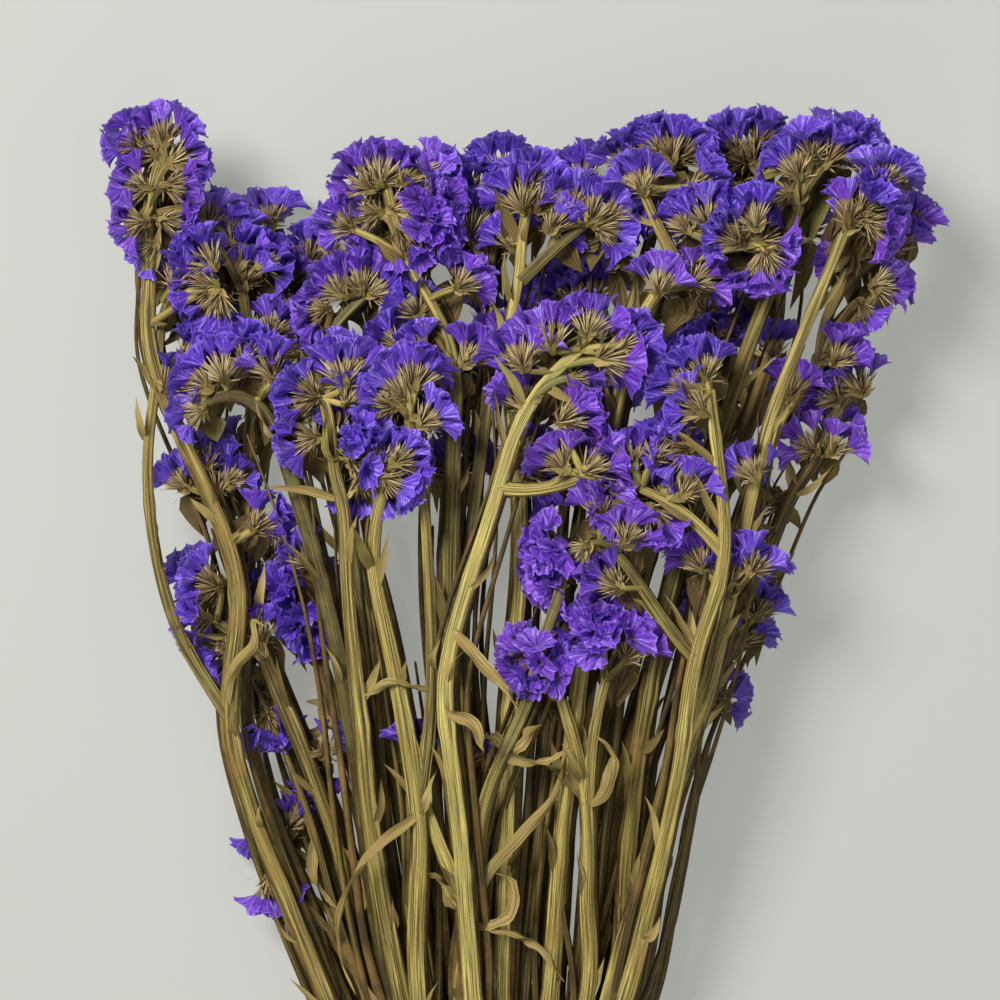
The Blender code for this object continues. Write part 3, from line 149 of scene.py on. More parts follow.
@dataclass(frozen=True)
class Spray:
    """One cut stem of the plan.

    Its depth is that of its heads. Its stalk, its twigs and its leaves run from the foot to the tip, and
    a leaf of more than two points is a curled one.
    """

    name: str
    depth: float
    stalk: list[Point]
    twigs: list[list[Point]]
    heads: list[Head]
    leaves: list[tuple[Point, ...]]
SPRAYS = (
    Spray(
        "spray_outer_left", 70,
        [(-72, 0), (-100, 72), (-110, 112), (-105, 150), (-109, 182), (-125, 216), (-138, 248), (-142, 270),
         (-141, 292), (-143, 312), (-138, 332), (-135, 344)],
        [[(-110, 112), (-130, 145), (-139, 175), (-143, 215), (-139, 250), (-136, 280), (-126, 296)]],
        [Head(-135, 348, 90, -12), Head(-142, 341, 150, -8), Head(-129, 338, 30, -10),
         Head(-146, 326, 170, -5), Head(-131, 326, 0, -12, 0.9), Head(-146, 311, 185, 10, 0.8),
         Head(-133, 312, -10, -20, 0.8), Head(-141, 301, 220, -25, 0.7),
         Head(-119, 297, 135, 0, 1.1), Head(-120, 286, 180, 0, 1.1), Head(-114, 278, -105, 0, 1.1)],
        [((-142, 314), (-120, 321)), ((-110, 114), (-100, 152)), ((-109, 182), (-116, 203))],
    ),
    Spray(
        "spray_left_tall", 46,
        [(-66, 0), (-92, 72), (-102, 115), (-104, 160), (-102, 190), (-100, 225), (-101, 262), (-104, 284)],
        [],
        [Head(-104, 300, 80, -10), Head(-95, 297, 20, -15, 0.9), Head(-112, 309, 120, -15),
         Head(-119, 316, 100, -20), Head(-108, 222, 150, 0, 0.9)],
        [((-104, 160), (-96, 178))],
    ),
    Spray(
        "spray_left_arch", 82,
        [(-45, 0), (-52, 50), (-58, 100), (-65, 140), (-73, 175), (-81, 202), (-89, 226), (-97, 240),
         (-109, 244), (-118, 239)],
        [],
        [Head(-120, 247, 155, -5), Head(-111, 253, 100, -5, 1.15), Head(-122, 234, 205, 0, 0.8),
         Head(-92, 253, 115, 0)],
        [],
    ),
    Spray(
        "spray_left_low", 60,
        [(-52, 0), (-64, 50), (-79, 95), (-95, 135), (-106, 165), (-114, 188), (-116, 200)],
        [[(-95, 135), (-108, 146), (-115, 150)]],
        [Head(-119, 166, 165, 10, 1.1), Head(-122, 151, 185, 30, 0.9), Head(-112, 138, 205, 30, 0.8),
         Head(-116, 207, 105, 0, 1.1), Head(-108, 209, 40, -10, 0.8)],
        [],
    ),
    Spray(
        "spray_left_mid", 88,
        [(-40, 0), (-50, 60), (-55, 110), (-60, 160), (-62, 200), (-68, 216), (-65, 228), (-70, 240)],
        [],
        [Head(-77, 242, 165, 5, 1.1), Head(-62, 251, 95, 0, 1.25), Head(-59, 241, 60, 15, 0.8),
         Head(-53, 226, 25, 40, 0.9), Head(-55, 216, 10, 40, 1.15), Head(-77, 224, 190, 10),
         Head(-56, 205, -80, -5)],
        [((-62, 200), (-92, 205))],
    ),
    Spray(
        "spray_forked", 94,
        [(-33, 0), (-33, 40), (-32, 75), (-42, 135), (-50, 172), (-49, 190), (-46, 205)],
        [[(-32, 75), (-27, 120), (-28, 160), (-30, 200), (-35, 220), (-36, 232)]],
        [Head(-41, 243, 135, -5, 1.15), Head(-33, 249, 80, -5, 1.25), Head(-46, 238, 165, -10, 0.9),
         Head(-43, 207, -25, -10), Head(-38, 216, 30, -10, 0.9)],
        [((-32, 75), (-48, 62), (-61, 42), (-63, 22), (-57, 4)), ((-50, 172), (-58, 190)),
         ((-33, 124), (-44, 127), (-54, 123))],
    ),
    Spray(
        "spray_centre", 97,
        [(-12, 0), (-15, 40), (-18, 80), (-22, 112), (-21, 140), (-9, 176), (-1, 205), (5, 225), (11, 238),
         (20, 250), (31, 259)],
        [[(-4, 190), (14, 203), (33, 209)]],
        [Head(8, 257, 100, -5, 1.15), Head(20, 264, 95, -5, 1.15), Head(35, 269, 80, -5, 1.1),
         Head(44, 256, 10, -5, 1.2), Head(38, 212, 20, -10, 1.2), Head(28, 232, 20, -10, 1.1),
         Head(31, 246, -30, -10, 0.8)],
        [((5, 237), (-5, 260)), ((20, 244), (34, 237)), ((-15, 148), (-7, 135), (2, 128), (8, 117)),
         ((-20, 118), (-11, 112), (-6, 101))],
    ),
    Spray(
        "spray_centre_tall", 58,
        [(-5, 0), (-8, 50), (-14, 100), (-15, 150), (-10, 200), (-4, 248), (-2, 275), (-4, 292)],
        [],
        [Head(-12, 314, 95, 0, 1.2), Head(-21, 309, 170, -10, 0.9), Head(-13, 328, 100, 25, 1.1),
         Head(1, 336, 90, -10, 1.1)],
        [((-4, 292), (-24, 296))],
    ),
    Spray(
        "spray_centre_right", 74,
        [(0, 0), (2, 60), (4, 120), (8, 170), (7, 215), (3, 258), (5, 278), (8, 288), (8, 303), (10, 314)],
        [[(8, 288), (22, 302), (33, 310)]],
        [Head(8, 321, 105, 0, 1.15), Head(17, 321, 70, 0, 1.1), Head(22, 311, 60, -15, 0.9),
         Head(39, 316, 60, -5, 1.15), Head(43, 308, -10, -5), Head(11, 216, 30, -5, 1.2),
         Head(14, 208, -20, -5)],
        [((5, 278), (2, 300)), ((8, 303), (-3, 326))],
    ),
    Spray(
        "spray_top_left", 66,
        [(-8, 0), (-15, 80), (-20, 150), (-19, 210), (-18, 255), (-28, 281), (-38, 296), (-42, 312),
         (-46, 328)],
        [],
        [Head(-48, 333, 90, 0, 1.15), Head(-56, 328, 150, 0, 1.1), Head(-37, 331, 50, 10, 0.9),
         Head(-40, 318, 10, -5), Head(-38, 306, -50, -5), Head(-27, 322, 10, 55, 1.2),
         Head(-29, 308, -20, 50, 1.1), Head(-53, 315, 190, -5), Head(-63, 311, 150, -10, 0.9)],
        [((-38, 296), (-50, 305)), ((-44, 314), (-61, 311))],
    ),
    Spray(
        "spray_centre_low", 90,
        [(-15, 0), (-10, 28), (-7, 70), (3, 100), (12, 118), (19, 148), (27, 166), (27, 178)],
        [[(-10, 28), (-20, 55), (-29, 78), (-34, 96)]],
        [Head(22, 181, 175, 35, 1.05), Head(22, 169, 200, 35, 1.05)],
        [((-10, 30), (28, 101)), ((-10, 30), (-20, 37), (-25, 47), (-30, 50)), ((27, 178), (38, 184)),
         ((4, 96), (10, 106), (17, 111)), ((4, 96), (-3, 105), (-9, 104)), ((5, 97), (16, 97), (28, 102)),
         ((8, 30), (15, 22), (26, 6)), ((-10, 28), (2, 34), (4, 46), (-2, 50))],
    ),
    Spray(
        "spray_ribbed_low", 84,
        [(36, 0), (35, 40), (35, 78), (31, 100), (25, 120)],
        [[(35, 78), (37, 108), (42, 128)]],
        [Head(19, 131, 140, 50, 1.1), Head(12, 138, 150, 50), Head(45, 146, 120, 50, 1.3),
         Head(36, 149, 150, 50, 1.1), Head(53, 141, 60, -10, 1.1)],
        [((35, 78), (26, 94)), ((35, 80), (14, 98)), ((35, 78), (42, 84), (44, 98), (38, 106))],
    ),
    Spray(
        "spray_right_long", 70,
        [(48, 0), (52, 60), (56, 98), (63, 140), (72, 180), (82, 212), (92, 240), (101, 264), (109, 285),
         (116, 305), (120, 318)],
        [],
        [Head(118, 334, 110, 10, 1.1), Head(126, 341, 80, 20), Head(134, 338, 50, 0, 1.1),
         Head(142, 341, 20, 25, 1.1), Head(113, 322, 190, -20, 0.8)],
        [((56, 98), (66, 108)), ((120, 306), (128, 303))],
    ),
    Spray(
        "spray_right_front", 98,
        [(50, 0), (62, 50), (70, 90), (74, 120), (76, 138), (83, 163), (88, 178), (86, 200), (84, 213),
         (83, 230), (82, 243)],
        [[(76, 138), (66, 150), (56, 165), (46, 180), (39, 184)],
         [(88, 178), (78, 190), (66, 200), (55, 204)]],
        [Head(76, 236, 155, 0, 1.05), Head(80, 252, 100, 10, 1.1), Head(70, 219, 190, -5, 1.15),
         Head(48, 198, 195, 10, 1.15), Head(60, 193, -75, -15), Head(32, 180, 230, -10, 0.7)],
        [((84, 213), (65, 229)), ((76, 140), (64, 164))],
    ),
    Spray(
        "spray_right_upper", 86,
        [(45, 0), (55, 40), (68, 82), (82, 122), (91, 160), (97, 190), (102, 212), (109, 238), (116, 254),
         (126, 280), (136, 305)],
        [],
        [Head(139, 314, 80, 0), Head(147, 317, 40, 30, 1.15), Head(149, 308, -30, 20),
         Head(152, 328, 70, 20)],
        [((98, 203), (102, 235))],
    ),
    Spray(
        "spray_right", 62,
        [(52, 0), (64, 55), (77, 100), (88, 148), (95, 182), (103, 208), (116, 236), (129, 255), (142, 270),
         (151, 281)],
        [[(129, 255), (130, 272), (138, 288), (149, 296), (158, 302)]],
        [Head(155, 287, 10, 0), Head(160, 305, 70, 5, 1.1), Head(150, 302, 110, 10),
         Head(138, 296, 150, 0, 0.9), Head(146, 277, -60, -20, 0.7)],
        [((129, 257), (145, 266))],
    ),
    Spray(
        "spray_outer_right", 52,
        [(56, 0), (66, 60), (76, 96), (86, 122), (97, 146), (107, 174), (113, 190), (119, 204), (131, 218),
         (134, 230), (142, 243)],
        [],
        [Head(146, 248, 110, 10, 1.05), Head(134, 243, 150, 10), Head(137, 222, 50, 0, 0.8),
         Head(124, 222, 150, 0, 0.9), Head(112, 200, 165, 10), Head(107, 186, 200, 10, 0.9)],
        [((119, 205), (118, 221)), ((131, 219), (128, 232))],
    ),
    Spray(
        "spray_low_right", 42,
        [(58, 0), (66, 50), (73, 88), (84, 124), (91, 138)],
        [[(73, 94), (82, 110), (88, 115)]],
        [Head(92, 119, 0, 10, 0.95), Head(100, 145, 55, 5, 1.1), Head(92, 160, 110, 40, 1.2),
         Head(102, 167, 70, 20, 0.9)],
        [],
    ),
    Spray(
        "spray_top_right", 40,
        [(40, 0), (46, 60), (62, 120), (83, 180), (100, 225), (112, 262), (115, 290), (112, 315), (107, 332)],
        [],
        [Head(103, 344, 105, 0, 1.15), Head(96, 340, 165, 20, 1.1), Head(107, 350, 75, 0, 0.9),
         Head(96, 326, 200, 10), Head(128, 312, 40, 0)],
        [((112, 262), (103, 274))],
    ),
    Spray(
        "spray_top_mid", 55,
        [(10, 0), (15, 60), (22, 120), (30, 180), (40, 230), (50, 268), (57, 290), (64, 315), (68, 332)],
        [],
        [Head(69, 343, 100, -5, 1.15), Head(76, 341, 45, -5, 1.1), Head(61, 343, 145, 0),
         Head(50, 338, 120, 10)],
        [],
    ),
    Spray(
        "spray_mid_spread", 82,
        [(20, 0), (24, 60), (30, 120), (37, 180), (46, 235), (54, 268), (62, 282), (71, 293), (85, 301),
         (98, 305), (104, 303)],
        [[(71, 293), (62, 310), (57, 322)]],
        [Head(56, 327, 100, 0), Head(82, 313, 100, 0, 1.15), Head(99, 312, 115, 0, 1.05),
         Head(107, 301, -20, 10, 0.9), Head(105, 294, -85, 10, 1.05)],
        [((71, 293), (80, 302))],
    ),
    Spray(
        "spray_inner_left", 60,
        [(-30, 0), (-38, 60), (-48, 120), (-58, 170), (-70, 220), (-74, 252), (-71, 267), (-62, 277),
         (-55, 283)],
        [],
        [Head(-67, 285, 145, 0), Head(-57, 289, 105, 0, 1.1), Head(-49, 284, 15, 0, 0.9),
         Head(-74, 277, 190, -5, 0.9)],
        [((-74, 254), (-84, 266))],
    ),
    Spray(
        "spray_back_left", 34,
        [(-25, 0), (-40, 80), (-58, 160), (-72, 225), (-82, 272), (-92, 288)],
        [],
        [Head(-92, 299, 80, 0), Head(-79, 303, 90, -5), Head(-69, 303, 85, -5, 0.9),
         Head(-60, 302, 60, -10, 0.9), Head(-86, 262, 150, -10)],
        [((-82, 272), (-98, 298))],
    ),
    Spray(
        "spray_low_left", 40,
        [(-58, 0), (-72, 40), (-84, 75), (-94, 108), (-97, 118)],
        [[(-72, 40), (-84, 52), (-90, 56)], [(-62, 14), (-78, 30), (-88, 40)]],
        [Head(-98, 60, -95, 10, 0.9), Head(-86, 66, 60, 0, 0.8), Head(-94, 41, -75, 5, 0.95),
         Head(-98, 108, -60, 30), Head(-103, 128, 150, 10, 0.9), Head(-76, 86, -80, 10, 0.8)],
        [((-90, 66), (-108, 79)), ((-78, 60), (-77, 47), (-66, 30)),
         ((-82, 104), (-74, 107), (-73, 116), (-80, 117))],
    ),
    Spray(
        "spray_inner_low", 46,
        [(-42, 0), (-53, 60), (-66, 110), (-77, 143)],
        [],
        [Head(-86, 163, 130, 35, 1.25), Head(-71, 161, 55, 35, 1.25), Head(-79, 149, -70, 45, 1.1),
         Head(-95, 180, 105, 0), Head(-98, 160, 185, 25)],
        [],
    ),
    Spray(
        "spray_back_mid", 24,
        [(-20, 0), (-20, 80), (-24, 150), (-22, 205), (-18, 235)],
        [],
        [Head(-24, 250, 100, 0, 1.15), Head(-9, 249, 80, 0, 1.1), Head(-22, 213, 130, 10, 1.2),
         Head(-12, 216, 40, 0), Head(-32, 268, 120, 0), Head(-5, 275, 70, 0, 0.9)],
        [],
    ),
    Spray(
        "spray_back_centre", 30,
        [(15, 0), (18, 80), (24, 160), (28, 220), (30, 262)],
        [],
        [Head(29, 284, 110, 10, 1.1), Head(40, 287, 70, 10, 1.1), Head(19, 287, 140, 0),
         Head(33, 308, 90, 0), Head(34, 334, 95, -5, 1.15), Head(44, 262, 20, 0)],
        [],
    ),
    Spray(
        "spray_back_right", 26,
        [(33, 0), (40, 80), (58, 160), (76, 222), (86, 256)],
        [],
        [Head(72, 277, 120, 10, 1.2), Head(86, 282, 80, 20, 1.1), Head(97, 272, 30, 0, 1.1),
         Head(102, 244, 0, 0, 1.1), Head(66, 252, 160, 10, 1.1), Head(90, 318, 90, 0)],
        [],
    ),
)


# Further heads, each grown on the nearest stalks that can carry it
MORE_HEADS: tuple[Point, ...] = (
    (-134, 354), (-149, 345), (-125, 336), (-152, 326), (-151, 315), (-137, 306), (-146, 296), (-117, 300),
    (-130, 290), (-104, 292), (-118, 276), (-88, 292), (-104, 305), (-113, 262), (-125, 258), (-131, 247),
    (-101, 259), (-92, 271), (-90, 243), (-80, 234), (-64, 229), (-52, 231), (-47, 217), (-66, 258),
    (-52, 258), (-44, 263), (-33, 260), (-28, 335), (-30, 320), (-36, 300), (-45, 340), (-60, 326),
    (-57, 312), (-72, 291), (-60, 298), (-46, 286), (-68, 313), (-10, 327), (0, 342), (12, 330),
    (28, 320), (47, 315), (38, 330), (66, 350), (78, 348), (56, 344), (32, 340), (72, 335),
    (112, 305), (111, 291), (80, 326), (98, 320), (58, 332), (134, 346), (145, 338), (120, 343),
    (104, 354), (95, 348), (99, 332), (70, 245), (52, 217), (18, 182), (17, 168), (150, 320),
    (160, 328), (166, 313), (141, 298), (161, 287), (152, 290), (137, 258), (139, 246), (130, 222),
    (136, 230), (105, 197), (78, 176), (90, 170), (101, 175), (106, 156), (98, 121), (16, 134),
    (30, 148), (43, 150), (44, 168), (2, 265), (18, 274), (38, 275), (52, 262), (40, 235),
    (23, 215), (-25, 248), (-10, 244), (-20, 213), (-12, 258), (-14, 288), (18, 292), (40, 292),
    (80, 288), (63, 286), (60, 267), (76, 260), (89, 265), (97, 290), (111, 262), (105, 247),
    (118, 246), (62, 220), (66, 204), (40, 197), (50, 187), (74, 205), (88, 225), (98, 212),
    (118, 205), (-127, 169), (-123, 150), (-117, 139), (-130, 208), (-120, 217), (-104, 213), (-96, 191),
    (-79, 177), (-91, 161), (-73, 162), (-83, 148), (-98, 146), (-70, 99), (-100, 106), (-32, 100),
    (-13, 96), (-108, 228), (-98, 232), (-28, 232), (-35, 278), (5, 305), (-5, 275), (25, 250),
    (8, 240), (120, 228), (92, 305), (72, 310), (48, 300), (-85, 308), (-95, 318),
)


def eased(share: Array | float) -> Array | float:
    """A share between nought and one, made to grow slowly at both its ends."""
    return share * share * (3 - 2 * share)


def spans(points: Array) -> zip:
    """Each stretch of a path with the points before and after it, the path carried on past its ends."""
    ends = np.vstack([2 * points[0] - points[1], points, 2 * points[-1] - points[-2]])
    return zip(ends, ends[1:], ends[2:], ends[3:])


def between(a: Array, b: Array, c: Array, d: Array, share: float | Array) -> Array:
    """The place at a share of the way from b to c, on the smooth curve through a, b, c and d."""
    bend, swing = 2 * a - 5 * b + 4 * c - d, 3 * b - a - 3 * c + d
    return 0.5 * (2 * b + (c - a) * share + bend * share**2 + swing * share**3)


def smooth_path(points: list, step: float) -> Array:
    """Points about a step apart on a smooth curve through the plan's points.

    Args:
        points: The points that the curve passes through, in order.
        step: The distance between new points above the plan's foot line.

    Returns:
        The new points, one a row.
    """
    points = np.array(points, float)
    out = [points[0]]
    for a, b, c, d in spans(points):
        count = max(1, round(float(np.linalg.norm(c - b)) / (step if c[1] > 5 else 1.8 * step)))
        out.extend(between(a, b, c, d, k / count) for k in range(1, count + 1))
    return np.array(out)


def finer(points: Array, step: float) -> Array:
    """The same smooth curve with evenly spaced points.

    Args:
        points: The coarse curve.
        step: The distance between the new points.

    Returns:
        The fine curve.
    """
    points = np.asarray(points, float)
    out = [points[0]]
    for a, b, c, d in spans(points):
        count = max(2, round(float(np.linalg.norm(c - b)) / step))
        out.extend(between(a, b, c, d, (np.arange(1, count + 1) / count)[:, None]))
    return np.array(out)


def thinned(points: Array, most_off: float = 1.0, longest: float = 75.0) -> Array:
    """The curve without the points close to the straight line between their neighbours.

    Args:
        points: The curve's points.
        most_off: How far from that line a point may lie and be left out.
        longest: The longest straight stretch to leave.

    Returns:
        The points kept.
    """
    kept = list(points)
    k = 1
    while k < len(kept) - 1:
        a, b, c = kept[k - 1], kept[k], kept[k + 1]
        span = c - a
        off = np.linalg.norm(np.cross(b - a, span)) / np.linalg.norm(span)
        if off < most_off and np.linalg.norm(span) < longest and b[1] > CELL_TOP_Y + 1:
            kept.pop(k)
        else:
            k += 1
    return np.array(kept)


def unit(vector: Array) -> Array:
    """The vector, or each row of vectors, at length one."""
    vector = np.asarray(vector, float)
    return vector / np.maximum(np.linalg.norm(vector, axis=-1, keepdims=True), 1e-9)


def axis_of(head: Head) -> Array:
    """The way a head faces, as a vector of length one."""
    aim, tilt = math.radians(head.aim), math.radians(head.tilt)
    return np.array([math.cos(aim) * math.cos(tilt), math.sin(aim) * math.cos(tilt), math.sin(tilt)])


@dataclass(frozen=True)
class Cup:
    """Where a head grows: its middle, the foot of its cup, the way it faces and its size."""

    middle: Array
    foot: Array
    axis: Array
    size: float


@dataclass
class Limb:
    """A stalk, a twig or a head's stem: its points, its size at each, and where it leaves its parent."""

    points: Array
    half_width: Array
    half_thickness: Array
    parent: int | None = None
    parent_point: int = 0
    head: Head | None = None
    offset: int = 0

    def cup(self) -> Cup:
        """The cup of the head on this stem.

        Returns:
            The cup.
        """
        axis, size = axis_of(self.head), self.head.size
        middle = self.points[-1] + axis * CUP_SINK * size
        return Cup(middle, middle - axis * CUP_BACK * size, axis, size)


class Bunch:
    """The skeleton of the whole bunch: the limbs of every spray, settled so that none touches another.

    Settling goes in rounds. Each pushes near limbs apart, mostly in depth, and then evens the moves out
    along the limbs, at first more than in the late rounds.
    """

    ROUNDS = 240
    LEAST_ROUNDS = 60
    PAIRS_EVERY = 6
    DONE_UNDER = 0.02
    WAYS = np.array([0.45, 0.3, 1.0])
    MOST_PUSH = 4.0
    PUSH_SHARE = 0.42
    EVEN_EARLY, EVEN_LATE = 0.35, 0.12
    LATE_FROM = 0.7
    NEAR_BY = 6

    def __init__(self, plans: tuple[Spray, ...]) -> None:
        """Grows the limbs from the plan, settles them, then adds the closest-set heads.

        Args:
            plans: The sprays of the plan.
        """
        self.plans = plans
        self.places = self.cells()
        self.sprays: list[list[Limb]] = []
        self.grown: list[int] = []
        spare: list[tuple[int, Head]] = []
        for index, plan in enumerate(plans):
            limbs = [self.stalk(plan, self.places[index], index)]
            for twig in plan.twigs:
                limbs.append(self.twig(limbs, twig, plan.depth))
            self.grown.append(len(limbs))
            kept: list[Head] = []
            for head in plan.heads:
                if any(math.hypot(head.x - o.x, head.y - o.y) < HEAD_SPACING for o in kept):
                    spare.append((index, head))
                    continue
                kept.append(head)
                limbs.append(self.head_stem(limbs[: self.grown[index]], head))
            self.sprays.append(limbs)
        self.settle()
        for index, head in spare:
            limbs = self.sprays[index]
            limbs.append(self.head_stem(limbs[: self.grown[index]], head))
        for spot in MORE_HEADS:
            self.fill_in(*spot)
        for limbs in self.sprays:
            for limb in limbs:
                limb.points = self.lowered(limb.points)

    def fill_in(self, x: float, y: float) -> None:
        """Adds a head that the plan leaves out, on the nearest stalk that can carry it.

        Args:
            x: Place in the plan.
            y: Place in the plan.
        """
        best = None
        for index, limbs in enumerate(self.sprays):
            if any(o.head and math.hypot(x - o.head.x, y - o.head.y) < FILL_IN_SPACING for o in limbs):
                return
            number, k = self.nearest(limbs[: self.grown[index]], x, y)
            root = limbs[number].points[k]
            away = self.reach(root[0], root[1], x, y)
            if best is None or away < best[0]:
                best = (away, index, root)
        _, index, root = best
        way = np.array([x - root[0], max(y - root[1], 0.0) + 6.0])
        aim = math.degrees(math.atan2(way[1], way[0]))
        head = Head(x, y, aim, 14.0 * math.sin(x * 2.3 + y), 0.95)
        limbs = self.sprays[index]
        limbs.append(self.head_stem(limbs[: self.grown[index]], head))

    def cells(self) -> dict[int, Point]:
        """The place of each spray in the bound part, by rows from the surface up, each row left to right.

        Returns:
            The place in x and z of each spray's foot.
        """
        order = sorted(range(len(self.plans)), key=lambda i: self.plans[i].depth)
        places = {}
        base = FOOT_RADIUS + SEAT_GAP + 2 * TWINE_RADIUS - TWINE_PRESS
        start = 0
        for row, count in enumerate(ROWS):
            members = sorted(order[start : start + count], key=lambda i: self.plans[i].stalk[0][0])
            start += count
            for column, index in enumerate(members):
                places[index] = ((column - (count - 1) / 2) * CELL, base + row * ROW_RISE)
        return places

    def stalk(self, spray: Spray, cell: Point, index: int) -> Limb:
        """The main stalk, from its cut end through the binding to its top.

        Args:
            spray: The plan of the spray.
            cell: Its place in the binding.
            index: Its number.

        Returns:
            The limb.
        """
        x, z = cell
        foot = [(x, CUT_Y - CUT_STEP * (index % 3), z), (x, TIE_Y, z), (x, CELL_TOP_Y, z)]
        first = spray.stalk[0]
        blend = [((x + first[0]) / 2, BLEND_Y, z + (spray.depth - z) * BLEND_CLIMB)]
        climb = []
        for px, py in spray.stalk:
            share = eased(min(1.0, (py - CLIMB_FROM_Y) / CLIMB_OVER))
            climb.append((px, py, z + (spray.depth - z) * share))
        points = thinned(smooth_path(foot + blend + climb, STALK_STEP))
        along = np.linspace(0, 1, len(points))
        waist = np.clip((points[:, 1] - CELL_TOP_Y) / 60.0, 0, 1)
        taper = 1 - (1 - TIP_SHARE) * along**3
        width = (FOOT_RADIUS + (STALK_HALF_WIDTH - FOOT_RADIUS) * waist) * taper
        thickness = (FOOT_RADIUS + (STALK_HALF_THICKNESS - FOOT_RADIUS) * waist) * taper
        return Limb(points, width, thickness)

    @staticmethod
    def reach(root_x: float, root_y: float, x: float, y: float) -> float:
        """How far x, y is from a root, and more where the root lies above it."""
        return math.hypot(root_x - x, root_y - y) + (0 if root_y <= y + 1 else ABOVE_PENALTY)

    @staticmethod
    def nearest(limbs: list[Limb], x: float, y: float) -> tuple[int, int]:
        """The limb and the point on it that a piece at x, y grows from.

        Args:
            limbs: The limbs that can carry the piece.
            x: Place in the plan.
            y: Place in the plan.

        Returns:
            The limb's number and the point's number.
        """
        best = None
        for number, limb in enumerate(limbs):
            for k in range(2, len(limb.points)):
                away = Bunch.reach(limb.points[k, 0], limb.points[k, 1], x, y)
                if best is None or away < best[0]:
                    best = (away, number, k)
        return best[1], best[2]

    def twig(self, limbs: list[Limb], plan: list[Point], depth: float) -> Limb:
        """A twig that leaves the stalk.

        Args:
            limbs: The spray's limbs so far.
            plan: The twig's points in the plan.
            depth: The spray's depth.

        Returns:
            The limb.
        """
        number, k = self.nearest(limbs[:1], *plan[0])
        root = limbs[number].points[k]
        points = [tuple(root)] + [(x, y, root[2] + (depth - root[2]) * 0.6) for x, y in plan[1:]]
        points = smooth_path(points, STALK_STEP)
        along = np.linspace(0, 1, len(points))
        width = STALK_HALF_WIDTH * 0.75 * (1 - 0.35 * along)
        return Limb(points, width, width * 0.62, number, k)

    def head_stem(self, limbs: list[Limb], head: Head) -> Limb:
        """The short stem under a head.

        Args:
            limbs: The limbs that can carry it.
            head: The head.

        Returns:
            The limb, which ends inside the head.
        """
        number, k = self.nearest(limbs, head.x, head.y)
        root = limbs[number].points[k]
        away = math.hypot(head.x - root[0], head.y - root[1])
        lift = HEAD_DEPTH_LIFT + 0.12 * away * math.sin(head.x * 1.7 + head.y)
        if away < 9.0 and k < len(limbs[number].points) - 1:
            lift = 8.0 if math.sin(head.x * 3.1 + head.y * 1.3) > -0.3 else -8.0
        axis = axis_of(head)
        end = np.array([head.x, head.y, root[2] + lift]) - axis * CUP_SINK * head.size
        base = end - axis * CUP_BACK * head.size
        if away < 2 * CUP_BACK:
            points = np.array([root, end])
        else:
            bend = root + (base - root) * 0.55 + np.array([0, 2.0, 0])
            points = smooth_path([root, bend, base, end], TWIG_STEP)
        width = np.full(len(points), TWIG_HALF_WIDTH)
        return Limb(points, width, np.full(len(points), TWIG_HALF_THICKNESS), number, k, head)

    def settle(self) -> None:
        """Moves the limbs of different sprays apart, mostly in depth, until none touches another."""
        starts, ends, radii, owners, points, links, fixed = [], [], [], [], [], [], []
        for owner, limbs in enumerate(self.sprays):
            offsets = []
            for limb in limbs:
                limb.offset = len(points)
                offsets.append(limb.offset)
                for k, point in enumerate(limb.points):
                    points.append(point)
                    fixed.append(point[1] < CELL_TOP_Y + 1)
                    if k:
                        links.append((limb.offset + k - 1, limb.offset + k))
                        starts.append(limb.offset + k - 1)
                        ends.append(limb.offset + k)
                        radius = float(max(limb.half_width[k], limb.half_width[k - 1]))
                        last = limb.head is not None and k == len(limb.points) - 1
                        radii.append(1.35 * CUP_RADIUS * limb.head.size if last else radius)
                        owners.append(owner)
                if limb.parent is not None:
                    joint = (offsets[limb.parent] + limb.parent_point, limb.offset)
                    links += [joint, joint]
        rest = np.array(points)
        starts, ends, radii, owners = (np.array(v) for v in (starts, ends, radii, owners))
        links = np.array(links)
        fixed = np.array(fixed)
        moved = np.zeros_like(rest)
        weights = np.zeros(len(rest))
        np.add.at(weights, links[:, 0], 1)
        np.add.at(weights, links[:, 1], 1)
        for turn in range(self.ROUNDS):
            now = rest + moved
            if turn % self.PAIRS_EVERY == 0:
                first, second = self.near_pairs(now, starts, ends, radii, owners)
            need = radii[first] + radii[second] + CLEARANCE
            ab = (now[starts[first]], now[ends[first]], now[starts[second]], now[ends[second]])
            at_a, at_b, s, t = self.closest(*ab)
            apart = at_b - at_a
            distance = np.linalg.norm(apart, axis=1)
            short = need - distance
            hit = short > 0
            worst = float(short.max()) if len(short) else 0.0
            if turn > self.LEAST_ROUNDS and worst < self.DONE_UNDER:
                break
            direction = apart[hit] / np.maximum(distance[hit], 1e-6)[:, None]
            direction = direction * self.WAYS
            flat = np.linalg.norm(direction, axis=1) < 0.3
            direction[flat, 2] += 0.2
            direction /= np.linalg.norm(direction, axis=1)[:, None]
            push = direction * np.minimum(short[hit], self.MOST_PUSH)[:, None] * self.PUSH_SHARE
            change = np.zeros_like(rest)
            share = np.zeros(len(rest))
            for sign, index, along in ((-1, first[hit], s[hit]), (1, second[hit], t[hit])):
                for which, part in ((starts, 1 - along), (ends, along)):
                    np.add.at(change, which[index], sign * push * (0.3 + 0.7 * part)[:, None])
                    np.add.at(share, which[index], 1.0)
            moved += change / np.maximum(1.0, share * 0.6)[:, None]
            mean = np.zeros_like(rest)
            np.add.at(mean, links[:, 0], moved[links[:, 1]])
            np.add.at(mean, links[:, 1], moved[links[:, 0]])
            mean /= np.maximum(weights, 1)[:, None]
            early = turn < self.ROUNDS * self.LATE_FROM
            moved += (mean - moved) * (self.EVEN_EARLY if early else self.EVEN_LATE)
            moved[fixed] = 0
        for limbs in self.sprays:
            for limb in limbs:
